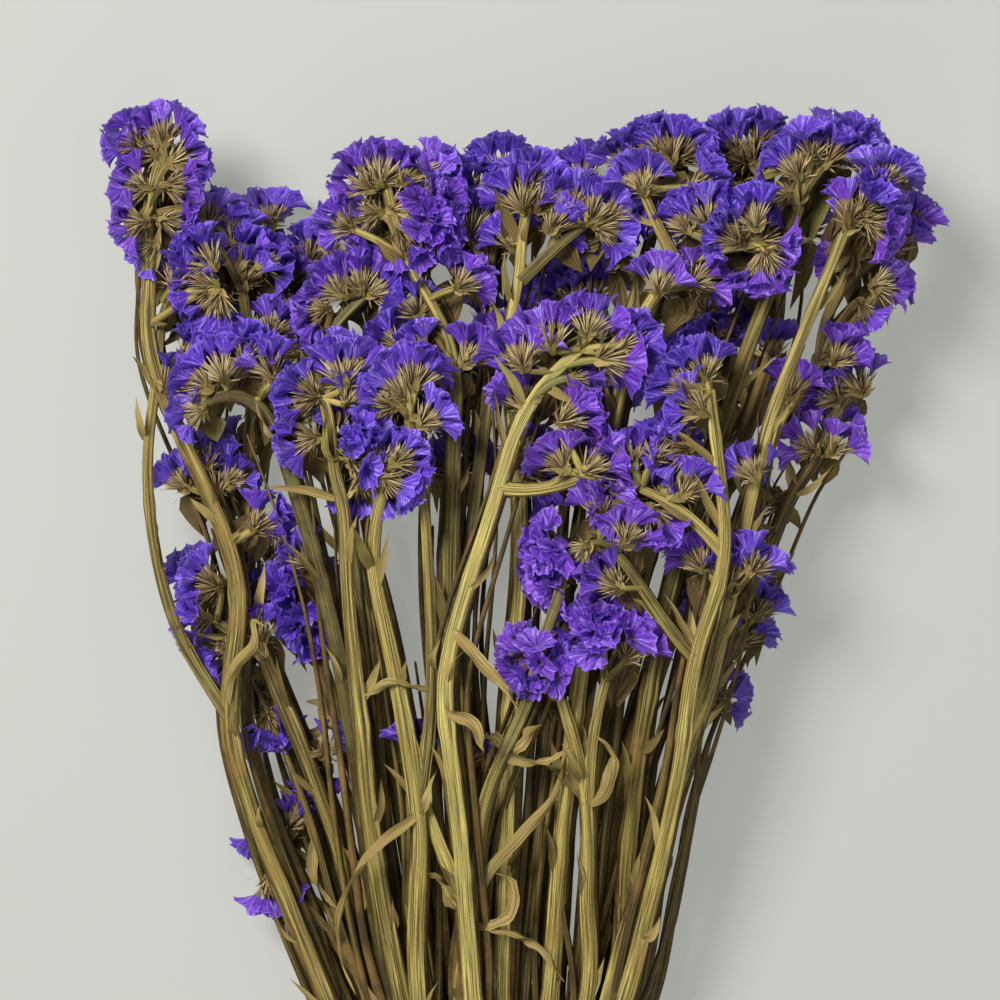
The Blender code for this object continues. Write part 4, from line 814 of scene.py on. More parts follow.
                limb.points = (rest + moved)[limb.offset : limb.offset + len(limb.points)]
            for limb in limbs:
                if limb.parent is not None:
                    limb.points[0] = limbs[limb.parent].points[limb.parent_point]
        log.info("settled to %.2f mm", worst)

    @staticmethod
    def near_pairs(
        points: Array, starts: Array, ends: Array, radii: Array, owners: Array
    ) -> tuple[Array, Array]:
        """The pairs of segments of different sprays that lie near each other.

        Args:
            points: All points.
            starts: Each segment's first point.
            ends: Each segment's last point.
            radii: Each segment's radius.
            owners: Each segment's spray.

        Returns:
            The segments' numbers, first and second of each pair.
        """
        middle = (points[starts] + points[ends]) / 2
        half = np.linalg.norm(points[ends] - points[starts], axis=1) / 2 + radii
        gap = np.linalg.norm(middle[:, None] - middle[None], axis=2)
        reach = half[:, None] + half[None] + Bunch.NEAR_BY
        near = (gap < reach) & (owners[:, None] < owners[None])
        return np.nonzero(near)

    @staticmethod
    def closest(a: Array, b: Array, c: Array, d: Array) -> tuple[Array, Array, Array, Array]:
        """The closest points of segments ab and cd.

        Args:
            a: Starts of the first segments.
            b: Ends of the first segments.
            c: Starts of the second segments.
            d: Ends of the second segments.

        Returns:
            The two points, and how far along each segment they lie.
        """
        u, v, w = b - a, d - c, a - c
        uu, uv, vv = (u * u).sum(1), (u * v).sum(1), (v * v).sum(1)
        uw, vw = (u * w).sum(1), (v * w).sum(1)
        den = np.maximum(uu * vv - uv * uv, 1e-9)
        s = np.clip((uv * vw - vv * uw) / den, 0, 1)
        t = np.clip((uv * s + vw) / np.maximum(vv, 1e-9), 0, 1)
        s = np.clip((uv * t - uw) / np.maximum(uu, 1e-9), 0, 1)
        return a + u * s[:, None], c + v * t[:, None], s, t

    @staticmethod
    def lowered(points: Array) -> Array:
        """The points let down to where the bunch lies on the surface.

        Args:
            points: Points of the skeleton.

        Returns:
            The same points, lower towards the heads.
        """
        points = np.array(points, float)
        share = eased(np.clip((points[:, 1] - DROP_FROM_Y) / CLIMB_OVER, 0, 1))
        points[:, 2] -= share * (DROP + SLOPE * points[:, 0])
        return points


class Surface:
    """A mesh in the making: points in millimetres, quads or triangles, a UV map and a look colour."""

    def __init__(self) -> None:
        """Starts with nothing."""
        self.points: list[Array] = []
        self.looks: list[Array] = []
        self.faces: list[Array] = []
        self.uvs: list[Array] = []
        self.count = 0
        self.triangles = 0

    def add(self, points: Array, faces: Array, uvs: Array, looks: Array) -> None:
        """Adds one patch.

        Args:
            points: Its points, one a row.
            faces: Point numbers, four a row; a triangle repeats its last.
            uvs: A UV pair for each corner of each face.
            looks: The look colour of each point: tone, place along, hue and a free number.
        """
        self.points.append(points)
        self.faces.append(np.asarray(faces) + self.count)
        self.uvs.append(np.asarray(uvs).reshape(-1, 2))
        self.looks.append(looks)
        self.count += len(points)
        self.triangles += int((2 - (faces[:, 2] == faces[:, 3])).sum())

    def build(self, name: str, material: bpy.types.Material) -> bpy.types.Object:
        """Makes the mesh object, in metres, pressed flat where it would sink into the surface.

        Args:
            name: The object's name.
            material: Its finish.

        Returns:
            The object, at the origin.
        """
        points = np.vstack(self.points)
        height = points[:, 2]
        points[:, 2] = np.where(height < PRESS, PRESS * np.exp((height - PRESS) / PRESS), height)
        points = (points - np.array([SHIFT_X, SHIFT_Y, 0])) * MM
        faces, uvs = np.vstack(self.faces), np.vstack(self.uvs)
        three = faces[:, 2] == faces[:, 3]
        size = np.where(three, 3, 4)
        start = np.concatenate([[0], np.cumsum(size)[:-1]])
        keep = np.ones((len(faces), 4), bool)
        keep[three, 3] = False
        mesh = bpy.data.meshes.new(name)
        mesh.vertices.add(len(points))
        mesh.vertices.foreach_set("co", points.astype(np.float32).ravel())
        mesh.loops.add(int(size.sum()))
        mesh.loops.foreach_set("vertex_index", faces[keep].astype(np.int32))
        mesh.polygons.add(len(faces))
        mesh.polygons.foreach_set("loop_start", start.astype(np.int32))
        mesh.polygons.foreach_set("use_smooth", np.ones(len(faces), bool))
        mesh.update(calc_edges=True)
        layer = mesh.uv_layers.new(name="UVMap")
        layer.data.foreach_set("uv", uvs[keep.ravel()].astype(np.float32).ravel())
        look = mesh.attributes.new("look", "FLOAT_COLOR", "POINT")
        look.data.foreach_set("color", np.vstack(self.looks).astype(np.float32).ravel())
        mesh.materials.append(material)
        obj = bpy.data.objects.new(name, mesh)
        bpy.context.scene.collection.objects.link(obj)
        return obj


@dataclass
class Template:
    """A shape modelled once about its own origin, with +Z along it."""

    points: Array
    faces: Array
    uvs: Array
    along: Array


@dataclass
class Tube:
    """A plain tube to be shaped: its faces and UVs, and where each point lies round it and along it."""

    faces: Array
    uvs: Array
    ring: Array
    turn: Array
    along: Array
    angle: Array

    def shaped(self, x: Array, y: Array, z: Array) -> Template:
        """The shape that the tube takes with its points moved to x, y and z."""
        return Template(np.stack([x, y, z], axis=1), self.faces, self.uvs, self.along)


class Modeller:
    """Makes the shapes that repeat, from Blender's own primitives."""

    CALYX_SIDES = 36
    CALYX_RINGS = (0.0, 0.24, 0.52, 0.80, 1.0)
    PLEATS = ((5, 0.9), (8, 1.1), (12, 1.4), (17, 0.7))
    BRACT_RINGS = (0.0, 0.60, 1.0)
    SLIM_SIDES = 3

    @staticmethod
    def tube(sides: int, rings: tuple[float, ...]) -> Tube:
        """A plain open tube of rings, extruded from a circle.

        Args:
            sides: Points in each ring.
            rings: The place along the finished shape that each ring stands for.

        Returns:
            The tube, its UV map without a smear at the seam.
        """
        bpy.ops.object.select_all(action="DESELECT")
        bpy.ops.mesh.primitive_circle_add(vertices=sides, radius=1.0, fill_type="NOTHING")
        work = bpy.context.object
        bpy.ops.object.mode_set(mode="EDIT")
        bpy.ops.mesh.select_all(action="SELECT")
        for _ in rings[1:]:
            bpy.ops.mesh.extrude_region_move(TRANSFORM_OT_translate={"value": (0, 0, 1)})
        bpy.ops.object.mode_set(mode="OBJECT")
        spots = np.array([vert.co[:] for vert in work.data.vertices])
        faces = np.array([list(face.vertices) for face in work.data.polygons])
        bpy.data.objects.remove(work)
        ring = np.round(spots[:, 2]).astype(int)
        angle = np.arctan2(spots[:, 1], spots[:, 0])
        turn = np.round(angle / math.tau * sides).astype(int) % sides
        along = np.array(rings)[ring]
        corner = turn[faces] / sides
        seam = corner.max(axis=1) - corner.min(axis=1) > 0.5
        corner[seam] = np.where(corner[seam] < 0.5, corner[seam] + 1, corner[seam])
        uvs = np.stack([corner, along[faces]], axis=2)
        return Tube(faces, uvs, ring, turn, along, turn / sides * math.tau)

    def calyx(self, seed: int) -> Template:
        """A papery calyx: a narrow straw tube that opens into a finely pleated frill with a frayed rim.

        Args:
            seed: Which of the shapes to make.

        Returns:
            The shape, one unit long from its root to its rim.
        """
        rng = np.random.default_rng(seed)
        tube = self.tube(self.CALYX_SIDES, self.CALYX_RINGS)
        along, angle = tube.along, tube.angle
        open_up = np.clip((along - 0.16) / 0.84, 0, 1)
        waves = np.zeros(len(along))
        for number, strength in self.PLEATS:
            waves += strength * rng.uniform(0.6, 1.2) * np.cos(number * angle + rng.uniform(0, TURN))
        mouth = rng.uniform(0.44, 0.58)
        radius = 0.045 + mouth * open_up**0.95 + 0.040 * waves * open_up
        height = along - 0.14 * open_up**3 + 0.035 * np.cos(5 * angle + rng.uniform(0, TURN)) * open_up
        height += 0.010 * waves * open_up
        fray = rng.normal(0, 0.018, self.CALYX_SIDES)
        height += np.where(tube.ring == tube.ring.max(), fray[tube.turn], 0)
        x, y = radius * np.cos(angle), radius * np.sin(angle)
        y *= rng.uniform(0.40, 0.75)
        x += rng.uniform(-0.12, 0.12) * open_up**2
        height -= abs(rng.normal(0, 0.25)) * np.abs(x) * open_up
        for way in rng.normal(0, 1, (3, 3)):
            phase = (x * way[0] + y * way[1] + height * way[2]) * 6.0 + rng.uniform(0, TURN)
            x += 0.014 * np.sin(phase) * open_up
            y += 0.026 * np.cos(phase * 1.3) * open_up
        return tube.shaped(x, y, height)

    def bract(self, seed: int) -> Template:
        """A dry bristle with three sides, a little bent, fullest past its middle and drawn to a tip.

        Args:
            seed: Which of the shapes to make.

        Returns:
            The shape, one unit long.
        """
        rng = np.random.default_rng(seed)
        tube = self.tube(self.SLIM_SIDES, self.BRACT_RINGS)
        belly = np.interp(tube.along, self.BRACT_RINGS, [0.045, 0.095, 0.022])
        x = belly * np.cos(tube.angle)
        y = belly * 0.62 * np.sin(tube.angle) + rng.uniform(-0.20, 0.20) * tube.along**2
        x += rng.uniform(-0.14, 0.14) * tube.along**2
        return tube.shaped(x, y, tube.along)

    def hair(self) -> Template:
        """A fine straight hair with three sides, one unit long."""
        tube = self.tube(self.SLIM_SIDES, (0.0, 1.0))
        slim = 0.06 * (1.02 - tube.along)
        return tube.shaped(slim * np.cos(tube.angle), slim * np.sin(tube.angle), tube.along)

    def leaf(self, seed: int, across_faces: int = 4, along_faces: int = 13) -> Template:
        """A dry lance-shaped leaf: keeled along its middle, waved at its edges, twisted and curled.

        Args:
            seed: Which of the shapes to make.
            across_faces: Faces across it.
            along_faces: Faces along it.

        Returns:
            The shape, one unit long, its breadth one unit too.
        """
        rng = np.random.default_rng(seed)
        bpy.ops.object.select_all(action="DESELECT")
        bpy.ops.mesh.primitive_grid_add(x_subdivisions=across_faces, y_subdivisions=along_faces, size=2.0)
        work = bpy.context.object
        spots = np.array([vert.co[:] for vert in work.data.vertices])
        faces = np.array([list(face.vertices) for face in work.data.polygons])
        bpy.data.objects.remove(work)
        across, along = spots[:, 0], (spots[:, 1] + 1) / 2
        outline = np.interp(along, [0, 0.12, 0.35, 0.7, 1], [0.45, 0.75, 1.0, 0.66, 0.02])
        half = 0.5 * outline * across
        keel = 0.45 * np.abs(half)
        wave = 0.10 * np.sin(along * rng.uniform(9, 15) + rng.uniform(0, 6)) * across**2 * outline
        twist = rng.uniform(-2.2, 2.2) * along**1.5
        x = half * np.cos(twist) - (keel + wave) * np.sin(twist)
        y = half * np.sin(twist) + (keel + wave) * np.cos(twist)
        uvs = np.stack([(across[faces] + 1) / 2, along[faces]], axis=2)
        return Template(np.stack([x, y, along], axis=1), faces, uvs, along)


def frame_about(axis: Array, spin: Array | float = 0.0) -> Array:
    """Turning matrices whose third column is the axis.

    Args:
        axis: Directions of length one, one a row.
        spin: An angle about each axis.

    Returns:
        One matrix a row.
    """
    axis = np.atleast_2d(axis)
    helper = np.where(np.abs(axis[:, 2:3]) < 0.9, np.array([[0.0, 0, 1]]), np.array([[0.0, 1, 0]]))
    x = unit(np.cross(helper, axis))
    y = np.cross(axis, x)
    spin = np.broadcast_to(np.asarray(spin, float), (len(axis),))[:, None]
    first = x * np.cos(spin) + y * np.sin(spin)
    second = -x * np.sin(spin) + y * np.cos(spin)
    return np.stack([first, second, axis], axis=2)


def looks_of(count: int, tone: Array | float, along: Array | float, hue: Array | float) -> Array:
    """The look colours of some points or copies.

    Args:
        count: How many there are.
        tone: The lightness, one for all or one for each.
        along: The place along the copy.
        hue: The place between the finish's colours.

    Returns:
        A row of four for each, the last one free.
    """
    looks = np.zeros((count, 4))
    looks[:, 0], looks[:, 1], looks[:, 2] = tone, along, hue
    return looks


def sizes_of(breadth: Array | float, length: Array) -> Array:
    """Three sizes for each copy: its breadth both ways across it, then its length."""
    breadth = np.broadcast_to(breadth, length.shape)
    return np.stack([breadth, breadth, length], axis=1)


def skin(sides: int, lay: Array, closed: bool = True) -> tuple[Array, Array]:
    """The faces between rows of points, and their UV pairs.

    Args:
        sides: Points in each row.
        lay: The height in the UV map of each row.
        closed: Whether each row joins its last point to its first.

    Returns:
        The faces, four point numbers a row, and a UV pair for each corner.
    """
    steps = sides if closed else sides - 1
    k, j = (way.ravel() for way in np.meshgrid(np.arange(len(lay) - 1), np.arange(steps), indexing="ij"))
    low, high = k * sides, (k + 1) * sides
    after = (j + 1) % sides
    faces = np.stack([low + j, low + after, high + after, high + j], axis=1)
    u = np.stack([j, j + 1, j + 1, j], axis=1) / steps
    return faces, np.stack([u, lay[np.stack([k, k, k + 1, k + 1], axis=1)]], axis=2)


@dataclass
class Copies:
    """Copies of a shape, a row for each: its root's place, turning matrix, three sizes and look colour."""

    spots: Array
    turns: Array
    sizes: Array
    looks: Array

    def some(self, pick: Array) -> "Copies":
        """The copies that are picked."""
        return Copies(self.spots[pick], self.turns[pick], self.sizes[pick], self.looks[pick])


def place(surface: Surface, template: Template, copies: Copies) -> None:
    """Adds copies of a template.

    Args:
        surface: The mesh in the making.
        template: The shape.
        copies: Where they go and how they look, but for the place along them, which is the shape's.
    """
    number, count = len(copies.spots), len(template.points)
    if not number:
        return
    points = np.einsum("nij,nkj->nki", copies.turns, template.points[None] * copies.sizes[:, None, :])
    points = points + copies.spots[:, None, :]
    faces = template.faces[None] + (np.arange(number) * count)[:, None, None]
    looks = np.repeat(copies.looks[:, None, :], count, axis=1)
    looks[:, :, 1] = template.along[None]
    uvs = np.repeat(template.uvs[None], number, axis=0)
    surface.add(points.reshape(-1, 3), faces.reshape(-1, 4), uvs, looks.reshape(-1, 4))


def carried_frames(path: Array, start: Array) -> Array:
    """A side direction for each point of a path, carried along without needless twist.

    Args:
        path: The points.
        start: The side direction that the first point would like.

    Returns:
        Two directions across the path for each point.
    """
    tangent = unit(np.gradient(path, axis=0))
    side = start - tangent[0] * (start @ tangent[0])
    out = []
    for way in tangent:
        side = unit(side - way * (side @ way))
        out.append(side)
    side = np.array(out)
    return np.stack([side, np.cross(tangent, side)], axis=1)


class Grade(Enum):
    """The kinds of stalk: points round each, the step between its rings, how flat it is pressed."""

    STALK = (22, 6.0, 0.0)
    STEM = (10, 3.6, 0.3)
    THIN = (7, 8.0, 0.3)


class Stalks:
    """Builds the ribbed and winged stalks, the twigs, the head stems and the thin stalks behind."""

    SMOOTHINGS = 5
    LAY_LENGTH = 40.0
    JOINT_EVERY = 61.0

    def __init__(self, rng: np.random.Generator) -> None:
        """Keeps the source of every random number."""
        self.rng = rng

    def section(self, wings: int, sides: int) -> tuple[Array, Array]:
        """An outline across a stalk: a flattened core with thin wings at its edges and ribs between.

        Args:
            wings: Wings round the stalk.
            sides: Points round it.

        Returns:
            The radius at each angle as a share of the stalk's half size, and the angles.
        """
        angle = np.arange(sides) / sides * math.tau
        ribs = 0.15 * np.abs(np.cos(angle * (wings + 2) / 2 + 0.6))
        wing = 0.38 * np.abs(np.cos(angle * wings / 2)) ** 10
        return 0.66 + ribs + wing, angle

    def course(self, limb: Limb, step: float) -> Array:
        """The middle line of a stalk, with the corners at the limb's points rounded off.

        Args:
            limb: The limb.
            step: The distance between the line's points.

        Returns:
            The points, one a row.
        """
        path = finer(limb.points, step)
        for _ in range(self.SMOOTHINGS):
            path[1:-1] = 0.5 * path[1:-1] + 0.25 * (path[:-2] + path[2:])
        return path

    def tube(self, surface: Surface, limb: Limb, grade: Grade, tone: float, hue: float) -> None:
        """One stalk along its limb, with a slow twist and small bends of its own.

        Args:
            surface: The mesh in the making.
            limb: The limb.
            grade: Its kind.
            tone: The stalk's lightness.
            hue: The stalk's place between straw, olive and brown.
        """
        rng = self.rng
        sides, step, flat = grade.value
        path = self.course(limb, step)
        count = len(path)
        reach, ask = np.linspace(0, 1, len(limb.points)), np.linspace(0, 1, count)
        length = float(np.linalg.norm(np.diff(path, axis=0), axis=1).sum())
        swollen = 1 + 0.22 * np.clip((path[:, 1] + 90) / 60, 0, 1) * (limb.head is None)
        width = np.interp(ask, reach, limb.half_width) * swollen
        thick = np.interp(ask, reach, limb.half_thickness) * swollen
        run = ask * length
        sway = rng.uniform(0, TURN, 4)
        wave = np.clip(width, 0, 2.6) * 0.04 * np.clip((path[:, 1] + 120) / 60, 0, 1)
        fade = np.clip(np.minimum(run, length - run) / 12.0, 0, 1)
        path[:, 0] += (
            wave * fade * np.sin(run / 17.0 + sway[0]) + 0.5 * wave * fade * np.sin(run / 7.1 + sway[1])
        )
        path[:, 2] += wave * fade * np.sin(run / 13.0 + sway[2])
        frames = carried_frames(path, np.array([1.0, 0, 0]))
        shape, angle = self.section(int(rng.integers(3, 6)), sides)
        twist = rng.uniform(-0.5, 0.5) + rng.uniform(-1.0, 1.0) * run / 140.0
        foot = np.clip((-90.0 - path[:, 1]) / 50.0, 0, 1)
        rings, reaches = [], []
        for k in range(count):
            wing = 1 + 0.045 * np.sin(run[k] / 23.0 + angle * 2 + sway[3])
            wing = wing + 0.012 * rng.normal(size=sides)
            r = (shape * (1 - foot[k]) + 0.93 * foot[k]) * wing
            a = angle + twist[k] * 0.35
            past_joint = (run[k] % self.JOINT_EVERY) - 30
            swell = 1 + 0.16 * math.exp(-(past_joint**2) / 8.0) * min(1.0, width[k] / 3)
            across = np.cos(a) * r * width[k] * swell
            upward = np.sin(a) * r * (thick[k] * (1 - flat) + width[k] * flat) * swell
            rings.append(path[k] + across[:, None] * frames[k, 0] + upward[:, None] * frames[k, 1])
            reaches.append(r)
        shade = np.clip(hue + 0.25 * (np.concatenate(reaches) - 0.75), 0, 1)
        faces, uvs = skin(sides, run / self.LAY_LENGTH)
        looks = looks_of(count * sides, tone, np.repeat(ask, sides), shade)
        surface.add(np.vstack(rings), faces, uvs, looks)
        self.cap(surface, rings[0], path[0] - unit(path[1] - path[0]) * 0.15, tone)
        self.cap(surface, rings[-1][::-1], path[-1] + unit(path[-1] - path[-2]) * 0.6, tone)

    @staticmethod
    def cap(surface: Surface, ring: Array, middle: Array, tone: float) -> None:
        """Closes a stalk's end with a fan of faces, in the colour of pith.

        Args:
            surface: The mesh in the making.
            ring: The ring at the end.
            middle: The point in the middle.
            tone: The stalk's lightness.
        """
        n = len(ring)
        j = np.arange(n)
        faces = np.stack([np.full(n, n), (j + 1) % n, j, j], axis=1)
        points = np.vstack([ring, middle])
        surface.add(points, faces, np.full((n, 4, 2), 0.5), looks_of(n + 1, tone + 0.12, 0, 0.35))


class Heads:
    """Builds the flower heads: the brush of bristles and bracts, the hairs and the papery calyces."""

    KINDS = 7

    def __init__(self, rng: np.random.Generator, modeller: Modeller) -> None:
        """Makes the shapes that the heads repeat.

        Args:
            rng: The source of every random number.
            modeller: What makes them.
        """
        self.rng = rng
        self.calyces = [modeller.calyx(100 + k) for k in range(self.KINDS)]
        self.bracts = [modeller.bract(300 + k) for k in range(self.KINDS)]
        self.hair = modeller.hair()

    def fan(self, axis: Array, count: int, spread: float, least: float = 0.0) -> Array:
        """Directions spread evenly about an axis.

        Args:
            axis: The middle of the spread.
            count: Directions wanted.
            spread: The furthest angle from the axis, in degrees.
            least: The nearest angle to it, in degrees.

        Returns:
            The directions, one a row.
        """
        k = np.arange(count)
        low, high = math.cos(math.radians(spread)), math.cos(math.radians(least))
        up = high - (high - low) * (k + 0.5) / count
        around = k * FAN_TURN + self.rng.uniform(0, TURN)
        out = np.sqrt(np.maximum(0, 1 - up**2))
        way = np.stack([out * np.cos(around), out * np.sin(around), up], axis=1)
        way += self.rng.normal(0, 0.13, way.shape)
        return unit(way @ frame_about(axis)[0].T)

    def scatter(self, surface: Surface, shapes: list[Template], copies: Copies) -> None:
        """Adds copies, each of a shape drawn from those given.

        Args:
            surface: The mesh in the making.
            shapes: The shapes.
            copies: Where they go and how they look.
        """
        kind = self.rng.integers(0, len(shapes), len(copies.spots))
        for k, shape in enumerate(shapes):
            place(surface, shape, copies.some(kind == k))

    def brush(self, surface: Surface, cup: Cup, tone: float) -> None:
        """The bracts and straw tubes that stand out from the foot of a head's cup like bristles.

        Args:
            surface: The mesh in the making.
            cup: The head's cup.
            tone: The head's lightness.
        """
        rng = self.rng
        ways = np.vstack([self.fan(cup.axis, BRISTLES, 50), self.fan(cup.axis, OUTER_BRISTLES, 88, 50)])
        number = len(ways)
        lengths = cup.size * rng.uniform(7.6, 11.4, number)
        lengths[BRISTLES:] *= 0.6
        spots = cup.foot + ways * rng.uniform(-0.5, 1.2, (number, 1))
        turns = frame_about(ways, rng.uniform(0, TURN, number))
        sizes = sizes_of(cup.size * rng.uniform(3.8, 6.6, number), lengths)
        tones = np.clip(tone + rng.normal(0, 0.28, number), 0, 1)
        looks = looks_of(number, tones, 0, rng.uniform(0, 1, number))
        self.scatter(surface, self.bracts, Copies(spots, turns, sizes, looks))

    def hairs(self, surface: Surface, cup: Cup) -> None:
        """Fine pale hairs among the bracts.

        Args:
            surface: The mesh in the making.
            cup: The head's cup.
        """
        rng = self.rng
        ways = self.fan(cup.axis, HAIRS, 110)
        number = len(ways)
        spots = cup.foot + ways * cup.size * rng.uniform(2, 7, (number, 1))
        turned = unit(ways + rng.normal(0, 0.45, ways.shape))
        sizes = sizes_of(1.6, cup.size * rng.uniform(3.0, 6.5, number))
        looks = looks_of(number, rng.uniform(0.65, 1.0, number), 0, 0.1)
        turns = frame_about(turned, rng.uniform(0, TURN, number))
        place(surface, self.hair, Copies(spots, turns, sizes, looks))

    def florets(self, surface: Surface, cup: Cup, hue: float) -> None:
        """The crimped calyces that open beyond the bracts.

        Args:
            surface: The mesh in the making.
            cup: The head's cup.
            hue: The head's place between blue violet and red violet.
        """
        rng = self.rng
        number = int(round(rng.uniform(6.3, 8.3) * min(1.2, cup.size)))
        ways = self.fan(cup.axis, number, 50)
        away = np.clip((0.62 - cup.axis[2]) / 0.5, 0, 1)
        ways[:, 2] = np.where(ways[:, 2] > 0, ways[:, 2] * (1 - 0.75 * away), ways[:, 2]) - 0.10 * away
        ways = unit(ways)
        scale = cup.size**0.7
        spots = cup.foot + ways * scale * rng.uniform(6.4, 8.2, (number, 1))
        turns = frame_about(ways, rng.uniform(0, TURN, number))
        long = scale * rng.uniform(10.0, 12.5, number)
        sizes = sizes_of(scale * rng.uniform(11.5, 15.0, number), long)
        # Painted shade: florets of a head lying lower are darker, and their spread in tone stands for florets
        # in light and in shade.
        tones = np.clip(rng.normal(0.20 + 0.38 * min(1.0, cup.foot[2] / 60.0), 0.22, number), 0, 1)
        looks = looks_of(number, tones, 0, np.clip(hue + rng.normal(0, 0.14, number), 0, 1))
        looks[:, 3] = rng.uniform(0, 1, number)
        self.scatter(surface, self.calyces, Copies(spots, turns, sizes, looks))


class Leaves:
    """Builds the dry leaves of a spray."""

    KINDS = 6
    RIBBON_STEP = 2.2
    RIBBON_POINTS = 7

    def __init__(self, rng: np.random.Generator, modeller: Modeller) -> None:
        """Makes the leaf shapes.

        Args:
            rng: The source of every random number.
            modeller: What makes them.
        """
        self.rng = rng
        self.shapes = [modeller.leaf(500 + k) for k in range(self.KINDS)]
        self.scales = [modeller.leaf(600 + k, 2, 5) for k in range(self.KINDS)]

    def around(self, axis: Array, count: int) -> Array:
        """Directions that lean out evenly round an axis.

        Args:
            axis: The axis.
            count: Directions wanted.

        Returns:
            The directions, one a row.
        """
        angle = np.arange(count) / count * math.tau + self.rng.uniform(0, TURN)
        lean = self.rng.uniform(0.5, 1.0, count)
        way = np.stack([np.cos(angle) * lean, np.sin(angle) * lean, np.ones(count)], axis=1)
        return unit(way @ frame_about(axis)[0].T)

    def leaf(
        self,
        surface: Surface,
        root: Array,
        tip: Array,
        breadth: float,
        bow: float,
        small: bool = False,
        tone: float = 0.5,
    ) -> None:
        """One leaf, bowed between its root and its tip.

        Args:
            surface: The mesh in the making.
            root: Where it grows.
            tip: Where it ends.
            breadth: Its breadth.
            bow: How far its middle stands off the straight line.
            small: Whether it is one of the small scales.
            tone: Its lightness, from nought to one.
        """
        rng = self.rng
        shape = (self.scales if small else self.shapes)[int(rng.integers(0, self.KINDS))]
        run = tip - root
        length = float(np.linalg.norm(run))
        matrix = frame_about(unit(run), rng.uniform(-0.6, 0.6))[0]
        points = shape.points * np.array([breadth, breadth, length])
        arc = np.sin(shape.along * math.pi) * bow
        points[:, 1] += arc
        points[:, 0] += arc * rng.uniform(-0.5, 0.5)
        tones = np.clip(rng.normal(tone, 0.2), 0, 1)
        looks = looks_of(len(points), tones, shape.along, rng.uniform(0.1, 0.95))
        surface.add(points @ matrix.T + root, shape.faces, shape.uvs, looks)

    def ribbon(self, surface: Surface, points: list[Array], breadth: float, hue: float) -> None:
        """A long narrow leaf along a path.

        Args:
            surface: The mesh in the making.
            points: The path.
            breadth: Its greatest breadth.
            hue: Its place between straw, olive and brown.
        """
        rng = self.rng
        path = finer(np.array(points), self.RIBBON_STEP)
        frames = carried_frames(path, np.array([0.9, 0, 0.4]))
        count = len(path)
        along = np.linspace(0, 1, count)
        half = 0.5 * breadth * np.interp(along, [0, 0.15, 0.5, 0.85, 1], [0.5, 0.9, 1, 0.6, 0.05])
        across = np.linspace(-1, 1, self.RIBBON_POINTS)
        turn = 0.8 * np.sin(along * 6 + rng.uniform(0, 6)) + rng.uniform(-1.6, 1.6) * along
        tangent = np.gradient(path, axis=0)
        rows = []
        for k in range(count):
            side = frames[k, 0] * math.cos(turn[k]) + frames[k, 1] * math.sin(turn[k])
            up = np.cross(unit(tangent[k]), side)
            lift = 0.75 * np.abs(across) * half[k] + 0.16 * half[k] * np.sin(along[k] * 30 + across * 2)
            rows.append(path[k] + side * (across * half[k])[:, None] + up * lift[:, None])
        faces, uvs = skin(len(across), along, closed=False)
        looks = looks_of(count * len(across), 0.55, np.repeat(along, len(across)), hue)
        surface.add(np.vstack(rows), faces, uvs, looks)


